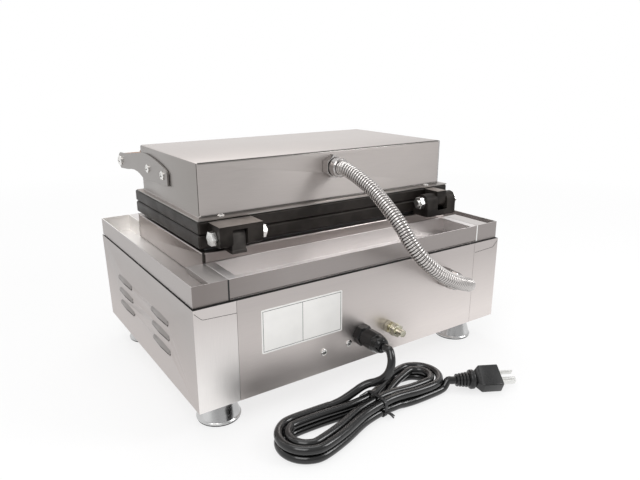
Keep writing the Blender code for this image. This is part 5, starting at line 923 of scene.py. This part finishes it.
# painted shade: dark strips in the gap under the deck, where only shade falls
gapShadeStrips = {  # dark strips that close the gap under the deck: middle, half width, half depth
    "left": ((0.1987, -0.02), 0.0012, 0.142), "right": ((-0.1987, -0.02), 0.0012, 0.142),
    "rear": ((0, 0.125), 0.1985, 0.0016), "front": ((0, -0.161), 0.1965, 0.0012),
}
gapShadeHeights = (0.1318, 0.1334)
for name, ((x, y), width, depth) in gapShadeStrips.items():
    addBlock("gap_shade_" + name, [(height, width, depth, 0.0002) for height in gapShadeHeights], upright,
             (x, y, 0), finish["sealAndShade"], "base", 16)
print("screws, label and seams made")


# Painted shade: a dark strip under the lower plate's rear corner, as far down as the deck
cornerShade = {"place": (0.1665, 0.0755, 0), "half": (0.0011, 0.0013), "heights": (0.1568, 0.1672)}
addBlock("plate_corner_shade_left", [(height, *cornerShade["half"], 0.0004) for height in cornerShade["heights"]], upright,
         cornerShade["place"], finish["plate"], "base", 16)


# Controls: pointers on the knobs, dial marks and words on the panel
words = {"size": 0.0042, "thick": 0.00005, "off": 0.00006, "switchSide": 0.148, "switchUp": 0.0215}


def addText(name, text, x, up):
    # flat letters made a mesh, then turned on to the panel's own axes
    curve = setUp(bpy.data.curves.new(name, "FONT"), body=text, size=words["size"], extrude=words["thick"],
                  align_x="CENTER", align_y="CENTER", resolution_u=3)
    holder = addObject(name + "_words", curve)
    data = bpy.data.meshes.new_from_object(holder.evaluated_get(bpy.context.evaluated_depsgraph_get()))
    bpy.data.objects.remove(holder)
    axes = np.stack([(1, 0, 0), panel["up"], panel["out"]])
    turned = onPanel(x, up, words["off"]) + vectorsOf(data.vertices, "co") @ axes
    data.vertices.foreach_set("co", turned.ravel())
    data.materials.clear()
    data.materials.append(finish["print"])
    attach(addObject(name, data), "base")


dials = {
    "temperature": {"side": -1, "marks": ["50", "100", "150", "200", "250", "300"]},
    "timer": {"side": 1, "marks": ["0", "1", "2", "3", "4", "5"]},
}
dialFace = {"sweep": 135, "ticks": 11, "tickRadius": 0.0238, "tickHalf": (0.0011, 0.0007),
            "lineHalf": 0.00018, "markRadius": (0.03, 0.0292)}
pointer = {"heights": (0.02385, 0.0242), "half": (0.0007, 0.0052), "up": 0.0078}
for name, dial in dials.items():
    x = dial["side"] * panel["spacing"]
    angles = np.radians(np.linspace(-dialFace["sweep"], dialFace["sweep"], dialFace["ticks"]))
    for k, angle in enumerate(angles):
        way = np.array((math.sin(angle), math.cos(angle)))
        half = dialFace["tickHalf"][k % 2]
        at = way * (dialFace["tickRadius"] + half)
        axes = np.stack([(way[1], *(panel["up"] * -way[0])[1:]),
                         panel["up"] * way[1] + np.array((way[0], 0, 0)), panel["out"]])
        tick = [(height, dialFace["lineHalf"], half, 0.0001) for height in (0.00002, 0.00012)]
        addBlock(f"{name}_tick_{k}", tick, axes, onPanel(x + at[0], panel["knobUp"] + at[1]),
                 finish["print"], "base", 8)
    for angle, mark in zip(angles[::2], dial["marks"]):
        addText(f"{name}_mark_{mark}", mark, x + math.sin(angle) * dialFace["markRadius"][0],
                panel["knobUp"] + math.cos(angle) * dialFace["markRadius"][1])
    addBlock(f"{name}_pointer", [(height, *pointer["half"], 0.0003) for height in pointer["heights"]],
             [(1, 0, 0), panel["up"], panel["out"]], onPanel(x, panel["knobUp"] + pointer["up"]),
             finish["mark"], bodyOf[name + "_knob"], 16)
addText("switch_on", "ON", words["switchSide"], words["switchUp"])
addText("switch_off", "OFF", words["switchSide"], -words["switchUp"])
print("controls marked")

# Feet: turned cones with a rolled rim on a thin dark pad
foot = {"height": 0.03, "base": 0.0225, "top": 0.0138, "lip": 0.002, "pad": 0.0008, "roll": 0.0012,
        "stem": 0.004, "seat": 0.0002, "shoulder": 0.0024}
base, top, lowest, highest = foot["base"], foot["top"], foot["pad"], foot["height"]
lip, roll, stem, seat = lowest + foot["lip"], foot["roll"], foot["stem"], highest - foot["seat"]
for name in ("foot_front_left", "foot_front_right", "foot_rear_left", "foot_rear_right"):
    low, high = np.array(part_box(name))
    centre = (low + high) / 2 * (1, 1, 0)
    profile = rounded([(0, lowest), (base - 0.001, lowest), (base, lowest + 0.0008), (base, lip),
                       (base - roll, lip + 0.001), (top + roll, highest - 0.004),
                       (top, highest - foot["shoulder"]), (top, seat), (stem, seat),
                       (stem, high[2]), (0, high[2])], 0.0006)
    addTurned(name + "_turned", profile, centre, (0, 0, 1), finish["foot"], "base", 96, 0, 45, [name])
    pad = rounded([(0, 0.0), (base - 0.0008, 0.0), (base - 0.0004, lowest), (0, lowest)], 0.0002, 2)
    addTurned(name + "_pad", pad, centre, (0, 0, 1), finish["sealAndShade"], "base", 96)
print("feet made")


# Floor, light and surroundings
stage = {"size": 6.0, "fadeFrom": 0.55, "fadeTo": 1.4, "nearGlow": 0.72, "farGlow": 0.28,
         "air": 0.62, "mirrorFront": 0.95, "mirrorRear": 0.55, "mirrorFrom": -0.6, "mirrorTo": 0.9,
         "aim": (0, 0, 0.1)}
lamps = {  # place, size and power
    "keyLight": ((0.9, 0.7, 1.3), 0.9, 9.0),
    "fillLight": ((-0.95, 0.95, 1.0), 0.5, 6.5),
    "topLight": ((-0.1, -0.5, 1.6), 1.4, 9.0),
}


def makeFloor():
    # the floor keeps a soft shadow near the press and gives way to plain white further out
    mesh = bpy.data.meshes.new("floor")
    corners = np.array([(-1, -1, 0), (1, -1, 0), (1, 1, 0), (-1, 1, 0)]) * stage["size"]
    mesh.from_pydata(corners.tolist(), [], [(0, 1, 2, 3)])
    addObject("floor", mesh)
    material, tree, shader = newMaterial("paleFloor", Base_Color=(0.88, 0.88, 0.88, 1), Roughness=0.6)
    mesh.materials.append(material)
    flat = addNode(tree, "VectorMath", {"operation": "MULTIPLY"}, in0=objectSpot(tree),
                   in1=(1.0, 1.0, 0.0)).outputs[0]
    far = addNode(tree, "VectorMath", {"operation": "LENGTH"}, in0=flat).outputs["Value"]
    fade = ramp(tree, far, stage["fadeFrom"], stage["fadeTo"])
    ray = addNode(tree, "LightPath").outputs
    seen = mathNode(tree, "MAXIMUM", ray["Is Camera Ray"], ray["Is Glossy Ray"])
    seen = mathNode(tree, "MAXIMUM", seen, ray["Is Transmission Ray"])
    share = mathNode(tree, "MULTIPLY", addShare(tree, stage["nearGlow"], fade, stage["farGlow"]), seen)
    glow = addNode(tree, "Emission", Color=(1, 1, 1, 1), Strength=1.0)
    mix = addNode(tree, "MixShader", in0=share, in1=shader.outputs[0], in2=glow.outputs[0])
    feed(tree, tree.nodes["Material Output"], Surface=mix.outputs[0])


def makeSurroundings():
    # white for camera and transmission rays, a room that darkens rearwards for glossy ones, even light else
    world = bpy.data.worlds.new("studio")
    scene.world = world
    world.use_nodes = True
    tree = world.node_tree
    ray = addNode(tree, "LightPath").outputs
    direction = addNode(tree, "TexCoord").outputs["Generated"]
    parts = addNode(tree, "SeparateXYZ", Vector=direction).outputs
    room = ramp(tree, parts["Y"], stage["mirrorFrom"], stage["mirrorTo"], stage["mirrorFront"],
                stage["mirrorRear"])
    level = addNode(tree, "Mix", {"data_type": "FLOAT"}, in0=ray["Is Glossy Ray"], in2=stage["air"],
                    in3=room).outputs[0]
    clear = mathNode(tree, "MAXIMUM", ray["Is Camera Ray"], ray["Is Transmission Ray"])
    level = addNode(tree, "Mix", {"data_type": "FLOAT"}, in0=clear, in2=level, in3=1.0).outputs[0]
    feed(tree, tree.nodes["Background"], Color=(1, 1, 1, 1), Strength=level)


def makeLamps():
    # each lamp's own -Z is turned on to the press
    for name, (place, size, power) in lamps.items():
        data = setUp(bpy.data.lights.new(name, "AREA"), shape="SQUARE", size=size, energy=power)
        aim = -np.array(place) + stage["aim"]
        tilt = math.atan2(math.hypot(aim[0], aim[1]), -aim[2])
        setUp(addObject(name, data), location=place, rotation_euler=(tilt, 0, math.atan2(-aim[0], aim[1])))


makeFloor()
makeSurroundings()
makeLamps()
print("stage made")
